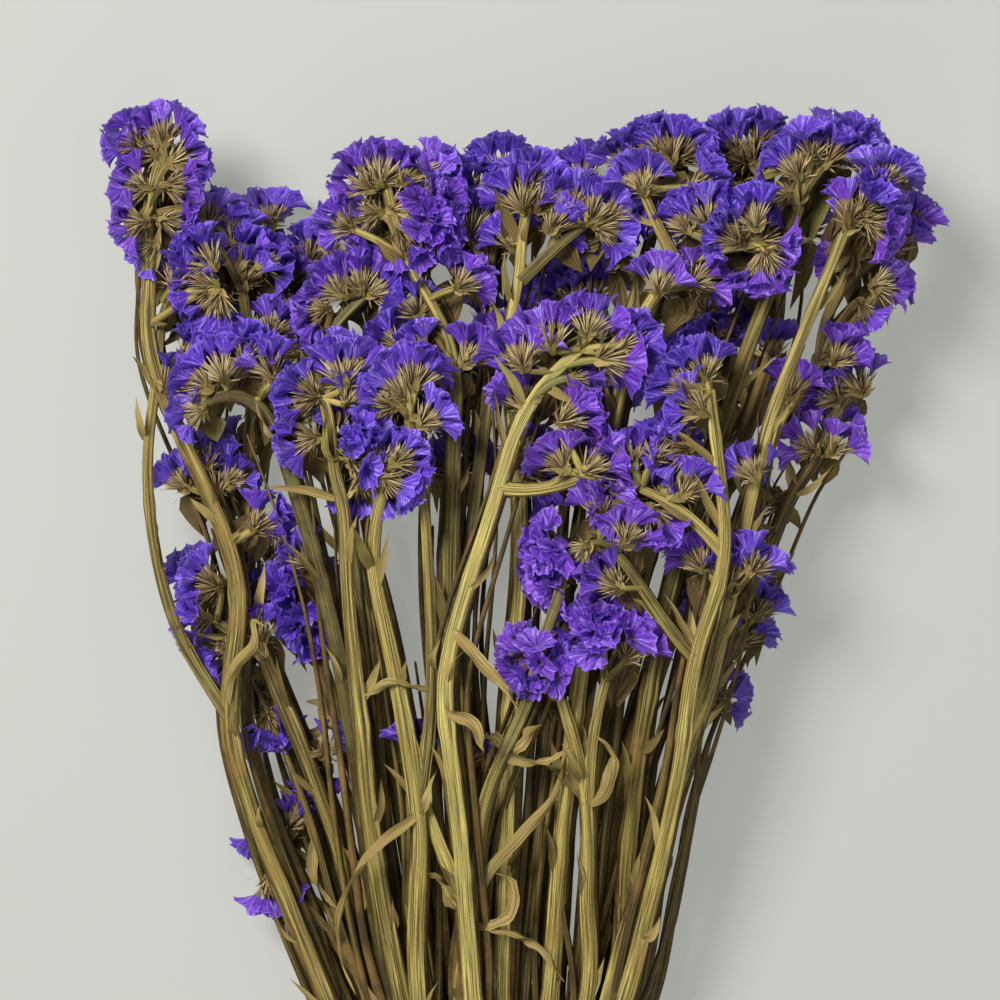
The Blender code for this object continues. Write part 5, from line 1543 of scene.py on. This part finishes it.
class Twine:
    """Builds the jute twine round the bound part, with its knot and its two loose ends."""

    PLIES = 3
    SIDES = 7
    SIDE_WAY = np.array([0.3, 0.2, 1.0])
    KNOT_X, KNOT_RISE = 3.0, 0.6
    WRAP_POINTS = 26
    END_PLACES = ((0, 0, 0), (4.0, 1.0, 1.2), (9.0, 5.0, 1.0), (13.0, 9.0, 0.6))

    def __init__(self, rng: np.random.Generator, hair: Template) -> None:
        """Starts the cord's mesh.

        Args:
            rng: The source of every random number.
            hair: The thin shape of a loose fibre.
        """
        self.rng = rng
        self.hair = hair
        self.surface = Surface()

    def strand(self, path: Array, radius: float) -> None:
        """A length of plied twine.

        Args:
            path: The points of its middle line.
            radius: Its radius.
        """
        path = finer(path, 0.8)
        frames = carried_frames(path, self.SIDE_WAY)
        run = np.concatenate([[0], np.cumsum(np.linalg.norm(np.diff(path, axis=0), axis=1))])
        for number in range(self.PLIES):
            phase = (run / 1.5 + number * math.tau / self.PLIES)[:, None]
            out = frames[:, 0] * np.cos(phase) + frames[:, 1] * np.sin(phase)
            self.ply(path + radius * 0.5 * out, radius * 0.52, number)

    def ply(self, path: Array, radius: float, number: int) -> None:
        """One ply of the twine.

        Args:
            path: Its middle line.
            radius: Its radius.
            number: Which ply it is.
        """
        frames = carried_frames(path, self.SIDE_WAY)
        angle = (np.arange(self.SIDES) / self.SIDES * math.tau)[None, :, None]
        rings = (
            path[:, None, :]
            + radius * np.cos(angle) * frames[:, None, 0]
            + radius * np.sin(angle) * frames[:, None, 1]
        )
        faces, uvs = skin(self.SIDES, np.arange(len(path)) / 20)
        looks = looks_of(len(path) * self.SIDES, 0.45 + 0.1 * number, 0, self.rng.uniform(0, 1))
        self.surface.add(rings.reshape(-1, 3), faces, uvs, looks)

    def fibres(self, path: Array, count: int) -> None:
        """Loose fibres that stand off the twine.

        Args:
            path: The twine's middle line.
            count: Fibres wanted.
        """
        rng = self.rng
        pick = rng.integers(0, len(path), count)
        ways = unit(rng.normal(0, 1, (count, 3)))
        spots = path[pick] + ways * 0.7
        sizes = sizes_of(0.9, rng.uniform(1.5, 4, count))
        turns = frame_about(ways, rng.uniform(0, 6, count))
        place(self.surface, self.hair, Copies(spots, turns, sizes, looks_of(count, 0.8, 0, 0)))

    @staticmethod
    def outline(places: dict[int, Point], reach: float) -> Array:
        """The line that a cord drawn tight round the bound stalks follows.

        Args:
            places: The stalks' places in the binding.
            reach: How far outside their middles it runs.

        Returns:
            The points in x and z.
        """
        centres = np.array([places[i] for i in sorted(places)])
        points = []
        for k in range(12):
            angle = math.pi / 6 * (k + 0.5)
            way = np.array([math.cos(angle), math.sin(angle)])
            points.append(centres[np.argmax(centres @ way)] + way * reach)
        return np.array(points)

    def tie(self, places: dict[int, Point]) -> None:
        """Builds the turns, the knot on top and the two ends.

        Args:
            places: The stalks' places in the binding.
        """
        outline = self.outline(places, FOOT_RADIUS + SEAT_GAP + TWINE_RADIUS)
        knot = np.array([self.KNOT_X, TIE_Y, float(outline[:, 1].max()) + self.KNOT_RISE])
        for turn in range(TWINE_TURNS):
            y = TIE_Y + (turn - (TWINE_TURNS - 1) / 2) * TWINE_RADIUS * 1.8
            loop = np.array([[x, y, max(z, TWINE_RADIUS + 0.1)] for x, z in outline])
            loop = np.vstack([loop, loop[:1]])
            loop[:, 1] += np.linspace(-0.7, 0.7, len(loop))
            self.strand(loop, TWINE_RADIUS)
            self.fibres(finer(loop, 1.0), 70)
        angle = np.linspace(0, 4.4 * math.pi, self.WRAP_POINTS)
        along = np.linspace(-2.2, 2.2, self.WRAP_POINTS)
        wrap = np.stack([2.6 * np.sin(angle), along, 1.8 * np.cos(angle)], axis=1)
        self.strand(knot + wrap, TWINE_RADIUS * 0.85)
        for way in (-1, 1):
            path = knot + np.array(self.END_PLACES) * [way, way, 1]
            self.strand(path, TWINE_RADIUS * 0.9)
            self.fibres(np.repeat(path[-1:], 3, axis=0), 16)
        dress(self.surface.build("twine_cord", JUTE.material()), "twine", self.surface)


class Wire:
    """A value that runs through a shader: one output socket, with arithmetic."""

    def __init__(self, maker: "ShaderMaker", socket: bpy.types.NodeSocket) -> None:
        """Keeps the material in the making and the output socket."""
        self.maker = maker
        self.socket = socket

    def maths(self, operation: str, *values: "Wire | float") -> "Wire":
        """The result of a maths node on the values, in their order."""
        return self.maker.wire("ShaderNodeMath", {"operation": operation}, dict(enumerate(values)))

    def __add__(self, other: "Wire | float") -> "Wire":
        """This value with another added."""
        return self.maths("ADD", self, other)

    def __mul__(self, other: "Wire | float") -> "Wire":
        """This value times another."""
        return self.maths("MULTIPLY", self, other)

    __radd__ = __add__
    __rmul__ = __mul__

    def __sub__(self, other: "Wire | float") -> "Wire":
        """This value less another."""
        return self.maths("SUBTRACT", self, other)

    def __rsub__(self, other: float) -> "Wire":
        """A number less this value."""
        return self.maths("SUBTRACT", other, self)

    def clamp(self) -> "Wire":
        """This value kept between nought and one."""
        return self.maths("MINIMUM", self.maths("MAXIMUM", self, 0.0), 1.0)


class ShaderMaker:
    """A material in the making."""

    def __init__(self, name: str) -> None:
        """Starts a material of that name with a Principled shader."""
        self.material = bpy.data.materials.new(name)
        self.material.use_nodes = True
        self.tree = self.material.node_tree
        self.shader = self.tree.nodes["Principled BSDF"]
        self.output = self.tree.nodes["Material Output"]

    def feed(self, node: bpy.types.Node, values: dict) -> None:
        """Gives a node's inputs their values and links.

        Args:
            node: The node.
            values: A number, a colour, a vector or a wire for each input's name or number.
        """
        for key, value in values.items():
            socket = node.inputs[key]
            if isinstance(value, Wire):
                self.tree.links.new(value.socket, socket)
            else:
                socket.default_value = (*value, 1.0) if socket.type == "RGBA" else value

    def node(self, kind: str, settings: dict, values: dict) -> bpy.types.Node:
        """Any node.

        Args:
            kind: The node's type.
            settings: Values for the node's own properties, which are set first.
            values: The values and links of its inputs.

        Returns:
            The node.
        """
        node = self.tree.nodes.new(kind)
        for key, value in settings.items():
            setattr(node, key, value)
        self.feed(node, values)
        return node

    def wire(self, kind: str, settings: dict, values: dict, output: str | int = 0) -> Wire:
        """One output of a new node, by its name or number."""
        return Wire(self, self.node(kind, settings, values).outputs[output])

    def split(self, colour: Wire) -> list[Wire]:
        """The red, the green and the blue of a colour."""
        return [Wire(self, part) for part in self.node("ShaderNodeSeparateColor", {}, {0: colour}).outputs]

    def noise(self, vector: Wire, scale: float, detail: float = 3.0, rough: float = 0.55) -> Wire:
        """The strength of a noise texture read at a vector."""
        values = {"Vector": vector, "Scale": scale, "Detail": detail, "Roughness": rough}
        return self.wire("ShaderNodeTexNoise", {}, values)

    def stretched(self, vector: Wire, stretch: tuple[float, float, float]) -> Wire:
        """A vector scaled along each axis."""
        return self.wire("ShaderNodeVectorMath", {"operation": "MULTIPLY"}, {0: vector, 1: stretch})

    def mix(self, first: Wire | tuple, second: Wire | tuple, factor: Wire | float) -> Wire:
        """The first colour with the second mixed in by the factor."""
        return self.wire("ShaderNodeMix", {"data_type": "RGBA"}, {0: factor, 6: first, 7: second}, 2)

    def bump(self, height: Wire, depth: float, strength: float) -> None:
        """Adds relief to the shader.

        Args:
            height: The height, from nought to one.
            depth: What one stands for, in metres.
            strength: How strongly it shows.
        """
        values = {"Height": height, "Distance": depth, "Strength": strength}
        self.set({"Normal": self.wire("ShaderNodeBump", {}, values)})

    def set(self, values: dict) -> None:
        """Gives the shader's inputs their values and links."""
        self.feed(self.shader, values)

    def let_light_through(self, colour: tuple[float, float, float], share: float) -> None:
        """Mixes in light that comes through from behind.

        Args:
            colour: The colour of that light.
            share: How much of it there is.
        """
        through = self.wire("ShaderNodeBsdfTranslucent", {}, {"Color": colour})
        front = Wire(self, self.shader.outputs[0])
        mixed = self.wire("ShaderNodeMixShader", {}, {0: share, 1: front, 2: through})
        self.feed(self.output, {"Surface": mixed})
class Part(Enum):
    """The kinds of piece that a finish is for."""

    STALK = "stalk"
    BRACT = "bract"
    LEAF = "leaf"
    CALYX = "calyx"
    TWINE = "twine"


Colour = tuple[float, float, float]


@dataclass
class Reading:
    """What a shader reads: the copy's tone, the place along it, its hue, the object and UV places."""

    tone: Wire
    along: Wire
    hue: Wire
    spot: Wire
    lay: Wire


@dataclass(frozen=True)
class Finish:
    """The colours of a sub-part, from shade to light, with a fourth that some of its copies lean to."""

    name: str
    part: Part
    dark: Colour
    middle: Colour
    light: Colour
    other: Colour
    rough: float
    through: float

    def material(self) -> bpy.types.Material:
        """Makes the finish.

        Returns:
            The material.
        """
        maker = ShaderMaker(self.name)
        look = maker.split(maker.wire("ShaderNodeAttribute", {"attribute_name": "look"}, {}, "Color"))
        spot = maker.wire("ShaderNodeTexCoord", {}, {}, "Object")
        read = Reading(*look, spot, maker.wire("ShaderNodeUVMap", {"uv_map": "UVMap"}, {}))
        if self.part is Part.CALYX:
            self.papery(maker, read)
        else:
            self.fibrous(maker, read)
        maker.set({"Roughness": self.rough, "Specular IOR Level": 0.25})
        if self.through > 0:
            maker.let_light_through(self.light, self.through)
        return maker.material

    def fibrous(self, maker: ShaderMaker, read: Reading) -> None:
        """The dry straw of stalks, bracts and leaves: fine streaks along it, and blotches, with painted shade
        in the grooves and partly painted highlight on the raised streaks.

        Args:
            maker: The material in the making.
            read: What it reads at a place.
        """
        tone, hue = read.tone, read.hue
        fine = {Part.STALK: 1.4, Part.LEAF: 1.2, Part.BRACT: 0.35, Part.TWINE: 0.6}[self.part]
        streak = maker.noise(maker.stretched(read.lay, (30.0 * fine, 1.0, 1.0)), 1.0, 4.0, 0.65)
        coarse = maker.noise(maker.stretched(read.lay, (10.0 * fine, 0.5, 1.0)), 1.0, 2.0)
        blotch = maker.noise(read.spot, 70.0, 3.0, 0.6)
        fleck = maker.noise(read.spot, 900.0, 2.0, 0.6)
        base = maker.mix(self.dark, self.middle, ((coarse - 0.36) * 4.0 + (tone - 0.45) * 1.5).clamp())
        # Pale streaks: partly the straw's own streaks and partly painted highlight on the raised ones.
        base = maker.mix(base, self.light, ((streak - 0.47) * 4.5 + (tone - 0.5) * 1.1).clamp() * 0.9)
        if self.part is Part.STALK:
            green = ((0.47 - blotch) * 3.0 + (0.36 - hue) * 2.4).clamp() * 0.5
            base = maker.mix(base, STALK_GREEN, green)
        base = maker.mix(base, self.other, ((blotch - 0.52) * 3.6 + (hue - 0.6) * 1.6).clamp() * 0.75)
        # Painted shade in the hollows of the streaks' relief.
        painted_groove_shade = ((0.46 - streak) * 9.0).clamp() * 0.85
        base = maker.mix(base, self.dark, painted_groove_shade)
        base = maker.mix(base, self.dark, ((fleck - 0.60) * 5.0).clamp() * 0.4)
        if self.part is Part.BRACT:
            base = maker.mix(base, self.light, ((read.along - 0.45) * 1.8).clamp() * (0.25 + tone * 0.6))
            # Painted shade at the bristles' roots, where they crowd in the cup.
            base = maker.mix(self.dark, base, (read.along * 3.0 + 0.30).clamp())
        maker.set({"Base Color": base})
        maker.bump(streak + coarse * 0.6, 0.0005, 0.6)

    def papery(self, maker: ShaderMaker, read: Reading) -> None:
        """The dry paper of a calyx: a straw tube, veins that run to the rim, and crimps, with painted shade
        in the creases and painted highlight on the ridges, the crimps and the rim.

        Args:
            maker: The material in the making.
            read: What it reads at a place.
        """
        tone, along = read.tone, read.along
        vein = maker.noise(maker.stretched(read.lay, (34.0, 0.9, 1.0)), 1.0, 4.0, 0.65)
        crimp = maker.noise(maker.stretched(read.lay, (20.0, 7.0, 1.0)), 1.0, 3.0, 0.6)
        patch = maker.noise(read.spot, 160.0, 2.0, 0.5)
        body = maker.mix(self.middle, self.other, (read.hue * 0.9 - 0.15 + (patch - 0.5) * 0.8).clamp())
        # The paper's own veins, darkened as painted shade in the creases and lightened as painted highlight
        # on the ridges; the floret's tone adds its painted light and shade.
        body = maker.mix(body, self.dark, ((vein - 0.52) * 11.0 + (0.50 - tone) * 1.7).clamp() * 0.9)
        body = maker.mix(body, self.light, ((0.47 - vein) * 11.0 + (tone - 0.5) * 1.1).clamp() * 0.8)
        # Painted highlight on the raised crimps.
        body = maker.mix(body, self.light, ((crimp - 0.58) * 5.0).clamp() * 0.5)
        # Painted highlight along the rim.
        rim = ((along - 0.90) * 8.0).clamp() * 0.35
        body = maker.mix(body, self.light, rim)
        tube = ((0.24 - along) * 10.0 + (vein - 0.5) * 2.0).clamp()
        maker.set({"Base Color": maker.mix(body, TUBE_STRAW, tube)})
        maker.bump(vein + crimp * 0.6, 0.0014, 0.9)


TUBE_STRAW: Colour = (0.42, 0.27, 0.12)
# The stalks' dark and light are the straw's colour in shade and in highlight; the straw finish paints them on
# in the grooves and on the raised streaks.
STALK_DARK: Colour = (0.045, 0.028, 0.008)
STALK_MIDDLE: Colour = (0.235, 0.178, 0.040)
STALK_LIGHT: Colour = (0.640, 0.530, 0.165)
STALK_BROWN: Colour = (0.235, 0.130, 0.036)
STALK_GREEN: Colour = (0.190, 0.195, 0.058)
BRACT_DARK: Colour = (0.070, 0.036, 0.014)
BRACT_MIDDLE: Colour = (0.300, 0.210, 0.088)
BRACT_LIGHT: Colour = (0.660, 0.520, 0.270)
BRACT_RUST: Colour = (0.260, 0.105, 0.045)
LEAF_DARK: Colour = (0.080, 0.050, 0.015)
LEAF_MIDDLE: Colour = (0.280, 0.200, 0.055)
LEAF_LIGHT: Colour = (0.580, 0.450, 0.180)
LEAF_OLIVE: Colour = (0.190, 0.180, 0.035)
JUTE_DARK: Colour = (0.16, 0.09, 0.035)
JUTE_MIDDLE: Colour = (0.42, 0.28, 0.13)
JUTE_LIGHT: Colour = (0.66, 0.50, 0.29)
JUTE_BROWN: Colour = (0.34, 0.20, 0.09)
# VIOLET_DARK is the paper's colour in deep shade and VIOLET_LIGHT its colour in highlight; the calyx finish
# paints them on as shade and highlight.
VIOLET_DARK: Colour = (0.028, 0.008, 0.190)
VIOLET_LIGHT: Colour = (0.480, 0.350, 1.000)
STRAW = Finish("straw_olive", Part.STALK, STALK_DARK, STALK_MIDDLE, STALK_LIGHT, STALK_BROWN, 0.55, 0.0)
BRACT = Finish("bract_straw", Part.BRACT, BRACT_DARK, BRACT_MIDDLE, BRACT_LIGHT, BRACT_RUST, 0.6, 0.10)
LEAF = Finish("leaf_straw", Part.LEAF, LEAF_DARK, LEAF_MIDDLE, LEAF_LIGHT, LEAF_OLIVE, 0.6, 0.12)
JUTE = Finish("twine_jute", Part.TWINE, JUTE_DARK, JUTE_MIDDLE, JUTE_LIGHT, JUTE_BROWN, 0.8, 0.05)
VIOLETS = tuple(
    Finish(name, Part.CALYX, VIOLET_DARK, middle, VIOLET_LIGHT, other, 0.5, 0.28)
    for name, middle, other in (
        ("violet_deep", (0.105, 0.034, 0.500), (0.13, 0.038, 0.56)),
        ("violet_bright", (0.140, 0.054, 0.600), (0.17, 0.050, 0.60)),
        ("violet_red", (0.155, 0.038, 0.520), (0.23, 0.045, 0.55)),
    )
)


@dataclass
class SprayPieces:
    """The stalks, bracts and leaves of one spray, each a mesh of its own, and the builders they need."""

    plan: Spray
    limbs: list[Limb]
    rng: np.random.Generator
    heads: Heads
    foliage: Leaves
    stalks: Surface = field(default_factory=Surface)
    bracts: Surface = field(default_factory=Surface)
    leaves: Surface = field(default_factory=Surface)

    def grow(self) -> None:
        """Builds the spray's pieces, with painted shade that makes them darker the further back the spray
        stands.
        """
        front = float(np.clip((self.plan.depth - 25) / 60, 0, 1))
        self.grow_stalks(front)
        for limb in self.limbs:
            if limb.head is None:
                self.joint_leaves(limb)
            else:
                self.grow_head(limb, front)
        for drawn in self.plan.leaves:
            self.plan_leaf(drawn)

    def grow_stalks(self, front: float) -> None:
        """The stalk, its twigs and head stems, and the thin stalks behind it.

        Args:
            front: How far forward the spray stands, from nought to one.
        """
        rng = self.rng
        stalks = Stalks(rng)
        for limb in self.limbs:
            grade = Grade.STALK if limb.head is None else Grade.STEM
            # Painted shade: the stalks of a spray further back get a darker tone and a browner hue.
            tone = float(np.clip(rng.normal(0.06 + 0.38 * front, 0.18), 0, 1))
            stalks.tube(self.stalks, limb, grade, tone, rng.uniform(0.0, 0.7) + 0.3 * (1 - front))
        for side in THIN_SIDES:
            limb = self.thin_stalk(side)
            # Painted shade: the thin stalks behind are given a dark tone and a brown hue.
            tone = rng.uniform(-0.1, 0.15)
            stalks.tube(self.stalks, limb, Grade.THIN, tone, rng.uniform(0.45, 0.85))

    def grow_head(self, limb: Limb, front: float) -> None:
        """The brush, the hairs and the small leaves of a head.

        Args:
            limb: The head's stem.
            front: How far forward the spray stands, from nought to one.
        """
        cup = limb.cup()
        # Painted shade: a head's brush is darker the further back its spray stands.
        self.heads.brush(self.bracts, cup, self.rng.uniform(0.15, 0.55) + 0.25 * front)
        self.heads.hairs(self.bracts, cup)
        self.root_leaf(limb)
        self.green_bracts(cup)
        self.painted_shade_leaves(limb)

    def thin_stalk(self, side: float) -> Limb:
        """A thin stalk behind the spray's own, where the bunch is seen through, given a dark tone as painted
        shade.

        Args:
            side: How far it leans to the right, or below nought to the left.

        Returns:
            The limb.
        """
        rng = self.rng
        path = finer(self.limbs[0].points, 16.0)
        path = path[path[:, 1] > rng.uniform(-90, -40)]
        path = path[: max(5, int(len(path) * rng.uniform(0.66, 1.0)))]
        share = np.clip(np.arange(len(path)) / 4.0, 0, 1)
        out = rng.uniform(4.0, 12.0)
        sway = 1.6 * np.sin(path[:, 1] / 31.0 + rng.uniform(0, 6))
        path[:, 0] += side * share * (out + sway)
        path[:, 2] = np.maximum(path[:, 2] - share * rng.uniform(6, 16), 2.2)
        width = np.linspace(rng.uniform(1.3, 2.1), 0.45, len(path))
        return Limb(path, width, width * 0.8)

    def plan_leaf(self, drawn: tuple[Point, ...]) -> None:
        """A leaf of the plan: curled through its points, long and swaying, or short.

        Args:
            drawn: Its points in the plan.
        """
        rng = self.rng
        spot = self.on_stalk(*drawn[0])
        if len(drawn) > 2:
            self.drawn_leaf(spot, drawn)
            return
        end = np.array([*drawn[-1], spot[2] + rng.uniform(0, 7)])
        if math.dist(*drawn) > LONG_LEAF:
            self.long_leaf(spot, end)
            return
        self.foliage.leaf(self.leaves, spot, end, rng.uniform(3.4, 5.0), rng.uniform(-3, 3), tone=0.35)

    def drawn_leaf(self, root: Array, drawn: tuple[Point, ...]) -> None:
        """A curled dry leaf through the plan's points, standing a little in front of its stalk.

        Args:
            root: Where it grows.
            drawn: Its points in the plan.
        """
        height = root[2] + 3.0
        points = [root]
        for x, y in drawn[1:]:
            height += self.rng.uniform(-1.0, 3.5)
            points.append(np.array([x, y, height]))
        self.foliage.ribbon(self.leaves, points, self.rng.uniform(5.0, 7.0), self.rng.uniform(0.1, 0.5))

    def long_leaf(self, root: Array, tip: Array) -> None:
        """A long dry leaf that sways between its root and its tip and curls at its end.

        Args:
            root: Where it grows.
            tip: Where it ends.
        """
        rng = self.rng
        run = tip - root
        side = unit(np.cross(run, [0, 0, 1.0]))
        sway = rng.uniform(3, 6) * rng.choice([-1, 1])
        points = [root]
        for share, out, up in ((0.25, 0.8, 4), (0.5, 0.1, 7), (0.75, -0.9, 6), (1.0, 0.0, 3)):
            points.append(root + run * share + side * sway * out + np.array([0, 0, up]))
        points.append(tip - unit(run) * 1.0 + side * 7 + np.array([0, 0, 6]))
        self.foliage.ribbon(self.leaves, points, rng.uniform(4.0, 5.5), rng.uniform(0.1, 0.9))

    def on_stalk(self, x: float, y: float) -> Array:
        """The place on the spray's stalks nearest to x, y in the plan."""
        spots = np.vstack([finer(limb.points, 3.0) for limb in self.limbs if limb.head is None])
        return spots[np.argmin(np.hypot(spots[:, 0] - x, spots[:, 1] - y))]

    def joint_leaves(self, limb: Limb) -> None:
        """Small twisted leaves along a stalk, one at each joint.

        Args:
            limb: The stalk.
        """
        rng = self.rng
        step = 3.0
        path = finer(limb.points, step)
        length = (len(path) - 1) * step
        tangent = unit(np.gradient(path, axis=0))
        spot = 18.0
        while spot < length - 8:
            k = int(spot / step)
            spot += rng.uniform(34, 60)
            if path[k, 1] < -60:
                continue
            side = unit(np.cross(tangent[k], [0, 0, 1.0])) * rng.choice([-1, 1])
            lean, lift = rng.uniform(0.12, 0.55), rng.uniform(0.0, 0.35)
            way = unit(tangent[k] + side * lean + np.array([0, 0, lift]))
            root = path[k] + side * 1.2
            tip = root + way * rng.uniform(12, 28)
            self.foliage.leaf(self.leaves, root, tip, rng.uniform(2.6, 4.6), rng.uniform(-4.5, 4.5))

    def root_leaf(self, limb: Limb) -> None:
        """The small scale leaf where a head's stem leaves its stalk.

        Args:
            limb: The head's stem.
        """
        root = limb.points[0]
        way = unit(limb.points[-1] - root)
        turned = unit(way + self.rng.normal(0, 0.35, 3) + np.array([0, 0, 0.3]))
        tip = root + turned * self.rng.uniform(6, 11)
        self.foliage.leaf(self.leaves, root + turned, tip, self.rng.uniform(1.8, 3.0), 1.0, small=True)

    def painted_shade_leaves(self, limb: Limb) -> None:
        """Dark leaves put deep behind a head as painted shade, which close the view through to the surface.

        Args:
            limb: The head's stem.
        """
        rng = self.rng
        foot, top = limb.points[0], limb.points[-1]
        run = foot - top
        side = unit(np.array([run[1], -run[0], 1e-6]))
        for way in (-1, 0, 1):
            start = top + run * 0.1 + side * way * rng.uniform(2, 6)
            end = foot + side * way * rng.uniform(3, 9) + np.array([0, -rng.uniform(4, 14), 0])
            start[2] = max(3.0, start[2] - rng.uniform(9, 16))
            end[2] = max(3.0, end[2] - rng.uniform(9, 16))
            # Their tone below nought makes them near black: painted shade.
            self.foliage.leaf(self.leaves, start, end, rng.uniform(7, 11), rng.uniform(-2, 2), True, -0.2)

    def green_bracts(self, cup: Cup) -> None:
        """The few olive pointed bracts that clasp the foot of a head.

        Args:
            cup: The head's cup.
        """
        foot = cup.foot - cup.axis * 1.5
        for way in self.foliage.around(cup.axis, 3):
            tip = foot + way * cup.size * self.rng.uniform(6, 9.5)
            self.foliage.leaf(self.leaves, foot, tip, self.rng.uniform(2.4, 3.6), 0.8, small=True)

    def finish(self, straw: bpy.types.Material, bract: bpy.types.Material, leaf: bpy.types.Material) -> None:
        """Turns the pieces into objects that stand in for the spray's solid.

        Args:
            straw: The stalks' finish.
            bract: The bracts' finish.
            leaf: The leaves' finish.
        """
        name = self.plan.name
        for part, surface, material in (
            ("stalks", self.stalks, straw),
            ("bracts", self.bracts, bract),
            ("leaves", self.leaves, leaf),
        ):
            if surface.count:
                dress(surface.build(f"{name}_{part}", material), name, surface)


def dress(piece: bpy.types.Object, node: str, surface: Surface) -> None:
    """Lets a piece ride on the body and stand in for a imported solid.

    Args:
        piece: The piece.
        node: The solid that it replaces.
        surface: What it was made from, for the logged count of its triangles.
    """
    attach(piece, "root")
    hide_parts(node)
    log.info("%s: %d triangles", piece.name, surface.triangles)


def floret_boxes() -> dict[str, Array]:
    """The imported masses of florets, each with its lowest and highest corner in plan millimetres."""
    names = sorted(name for name in frame["nodes"] if name.startswith("florets_"))
    shift = np.array([SHIFT_X, SHIFT_Y, 0])
    return {name: np.array([list(corner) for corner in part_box(name)]) / MM + shift for name in names}


def grow_florets(sprays: list[list[Limb]], heads: Heads, rng: np.random.Generator) -> None:
    """Builds every head's calyces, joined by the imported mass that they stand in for.

    Args:
        sprays: The skeleton.
        heads: The builder of heads.
        rng: The source of every random number.
    """
    named = floret_boxes()
    names, boxes = list(named), np.array(list(named.values()))
    masses = {name: Surface() for name in names}
    for limb in (limb for limbs in sprays for limb in limbs if limb.head is not None):
        cup = limb.cup()
        spot = cup.middle + cup.axis * 3.0
        away = np.maximum(np.maximum(boxes[:, 0] - spot, spot - boxes[:, 1]), 0)
        far = np.linalg.norm(away, axis=1) + 0.05 * np.linalg.norm(boxes.mean(axis=1) - spot, axis=1)
        surface = masses[names[int(np.argmin(far))]]
        hue = float(np.clip(rng.normal(0.4, 0.25), 0, 1))
        heads.florets(surface, cup, hue)
    materials = [finish.material() for finish in VIOLETS]
    for name, surface in masses.items():
        which = (int(name.split("_")[1]) - 1) % len(VIOLETS)
        if surface.count:
            dress(surface.build(f"{name}_calyces", materials[which]), name, surface)
        else:
            log.info("%s has no head near it", name)


@dataclass(frozen=True)
class Lamp:
    """A soft light: its name, place in metres, side, power in watts and colour."""

    name: str
    spot: tuple[float, float, float]
    side: float
    power: float
    colour: Colour


@dataclass(frozen=True)
class Studio:
    """The pale floor with a faint glow of its own, the soft lights, the room's light and the camera."""

    floor: Colour = (0.200, 0.202, 0.192)
    floor_glow: Colour = (0.290, 0.297, 0.272)
    floor_size: float = 4.0
    room: tuple[float, ...] = (0.80, 0.86, 0.83, 1.0)
    room_strength: float = 0.12
    lit_spot: tuple[float, float, float] = (0.0, 0.12, 0.03)
    lamps: tuple[Lamp, ...] = (
        Lamp("key", (-0.75, 0.75, 1.5), 0.6, 52.0, (1.0, 0.985, 0.96)),
        Lamp("fill", (0.95, -0.2, 1.3), 1.2, 6.0, (0.96, 0.98, 1.0)),
        Lamp("front", (0.1, -0.9, 1.1), 1.0, 5.0, (1.0, 1.0, 1.0)),
    )
    camera_height: float = 1.30
    frame_width: float = 0.400
    subject_height: float = 0.060
    middle_y: float = 0.2
    sensor: float = 36.0

    def light(self, lamp: Lamp) -> None:
        """An area light that looks at the heads.

        Args:
            lamp: What it is.
        """
        data = bpy.data.lights.new(lamp.name, "AREA")
        data.size = lamp.side
        data.energy = lamp.power
        data.color = lamp.colour
        light = bpy.data.objects.new(lamp.name, data)
        light.location = lamp.spot
        aim = Vector(self.lit_spot) - Vector(lamp.spot)
        light.rotation_euler = aim.to_track_quat("-Z", "Y").to_euler()
        bpy.context.scene.collection.objects.link(light)

    def lay_floor(self) -> None:
        """The floor, which is no part of the object."""
        bpy.ops.object.select_all(action="DESELECT")
        bpy.ops.mesh.primitive_plane_add(size=self.floor_size, location=(0, 0, 0))
        floor = bpy.context.object
        floor.name = "floor"
        maker = ShaderMaker("floor_paper")
        maker.set({"Base Color": self.floor, "Roughness": 0.9, "Specular IOR Level": 0.1})
        maker.set({"Emission Color": self.floor_glow, "Emission Strength": 1.0})
        floor.data.materials.append(maker.material)

    def build(self) -> None:
        """Sets the floor, the lights, the world and the camera."""
        self.lay_floor()
        for lamp in self.lamps:
            self.light(lamp)
        world = bpy.data.worlds.new("room")
        bpy.context.scene.world = world
        world.use_nodes = True
        background = world.node_tree.nodes["Background"]
        background.inputs["Color"].default_value = self.room
        background.inputs["Strength"].default_value = self.room_strength
        data = bpy.data.cameras.new("camera")
        data.sensor_width = self.sensor
        data.lens = self.sensor / self.frame_width * (self.camera_height - self.subject_height)
        data.clip_end = 10.0
        camera = bpy.data.objects.new("camera", data)
        camera.location = (-SHIFT_X * MM, self.middle_y - SHIFT_Y * MM, self.camera_height)
        bpy.context.scene.collection.objects.link(camera)
        bpy.context.scene.camera = camera
        bpy.context.scene.view_settings.view_transform = "Standard"


def main() -> None:
    """Builds the bunch, its finishes and the studio."""
    rng = np.random.default_rng(7)
    bunch = Bunch(SPRAYS)
    modeller = Modeller()
    heads = Heads(rng, modeller)
    leaves = Leaves(rng, modeller)
    materials = [finish.material() for finish in (STRAW, BRACT, LEAF)]
    for plan, limbs in zip(SPRAYS, bunch.sprays):
        pieces = SprayPieces(plan, limbs, rng, heads, leaves)
        pieces.grow()
        pieces.finish(*materials)
    grow_florets(bunch.sprays, heads, rng)
    Twine(rng, heads.hair).tie(bunch.places)
    Studio().build()
    meshes = [obj.data for obj in bpy.data.objects if obj.type == "MESH"]
    total = sum(len(face.vertices) - 2 for mesh in meshes for face in mesh.polygons)
    log.info("%d triangles with the packed solids", total)


if __name__ == "__main__":
    main()
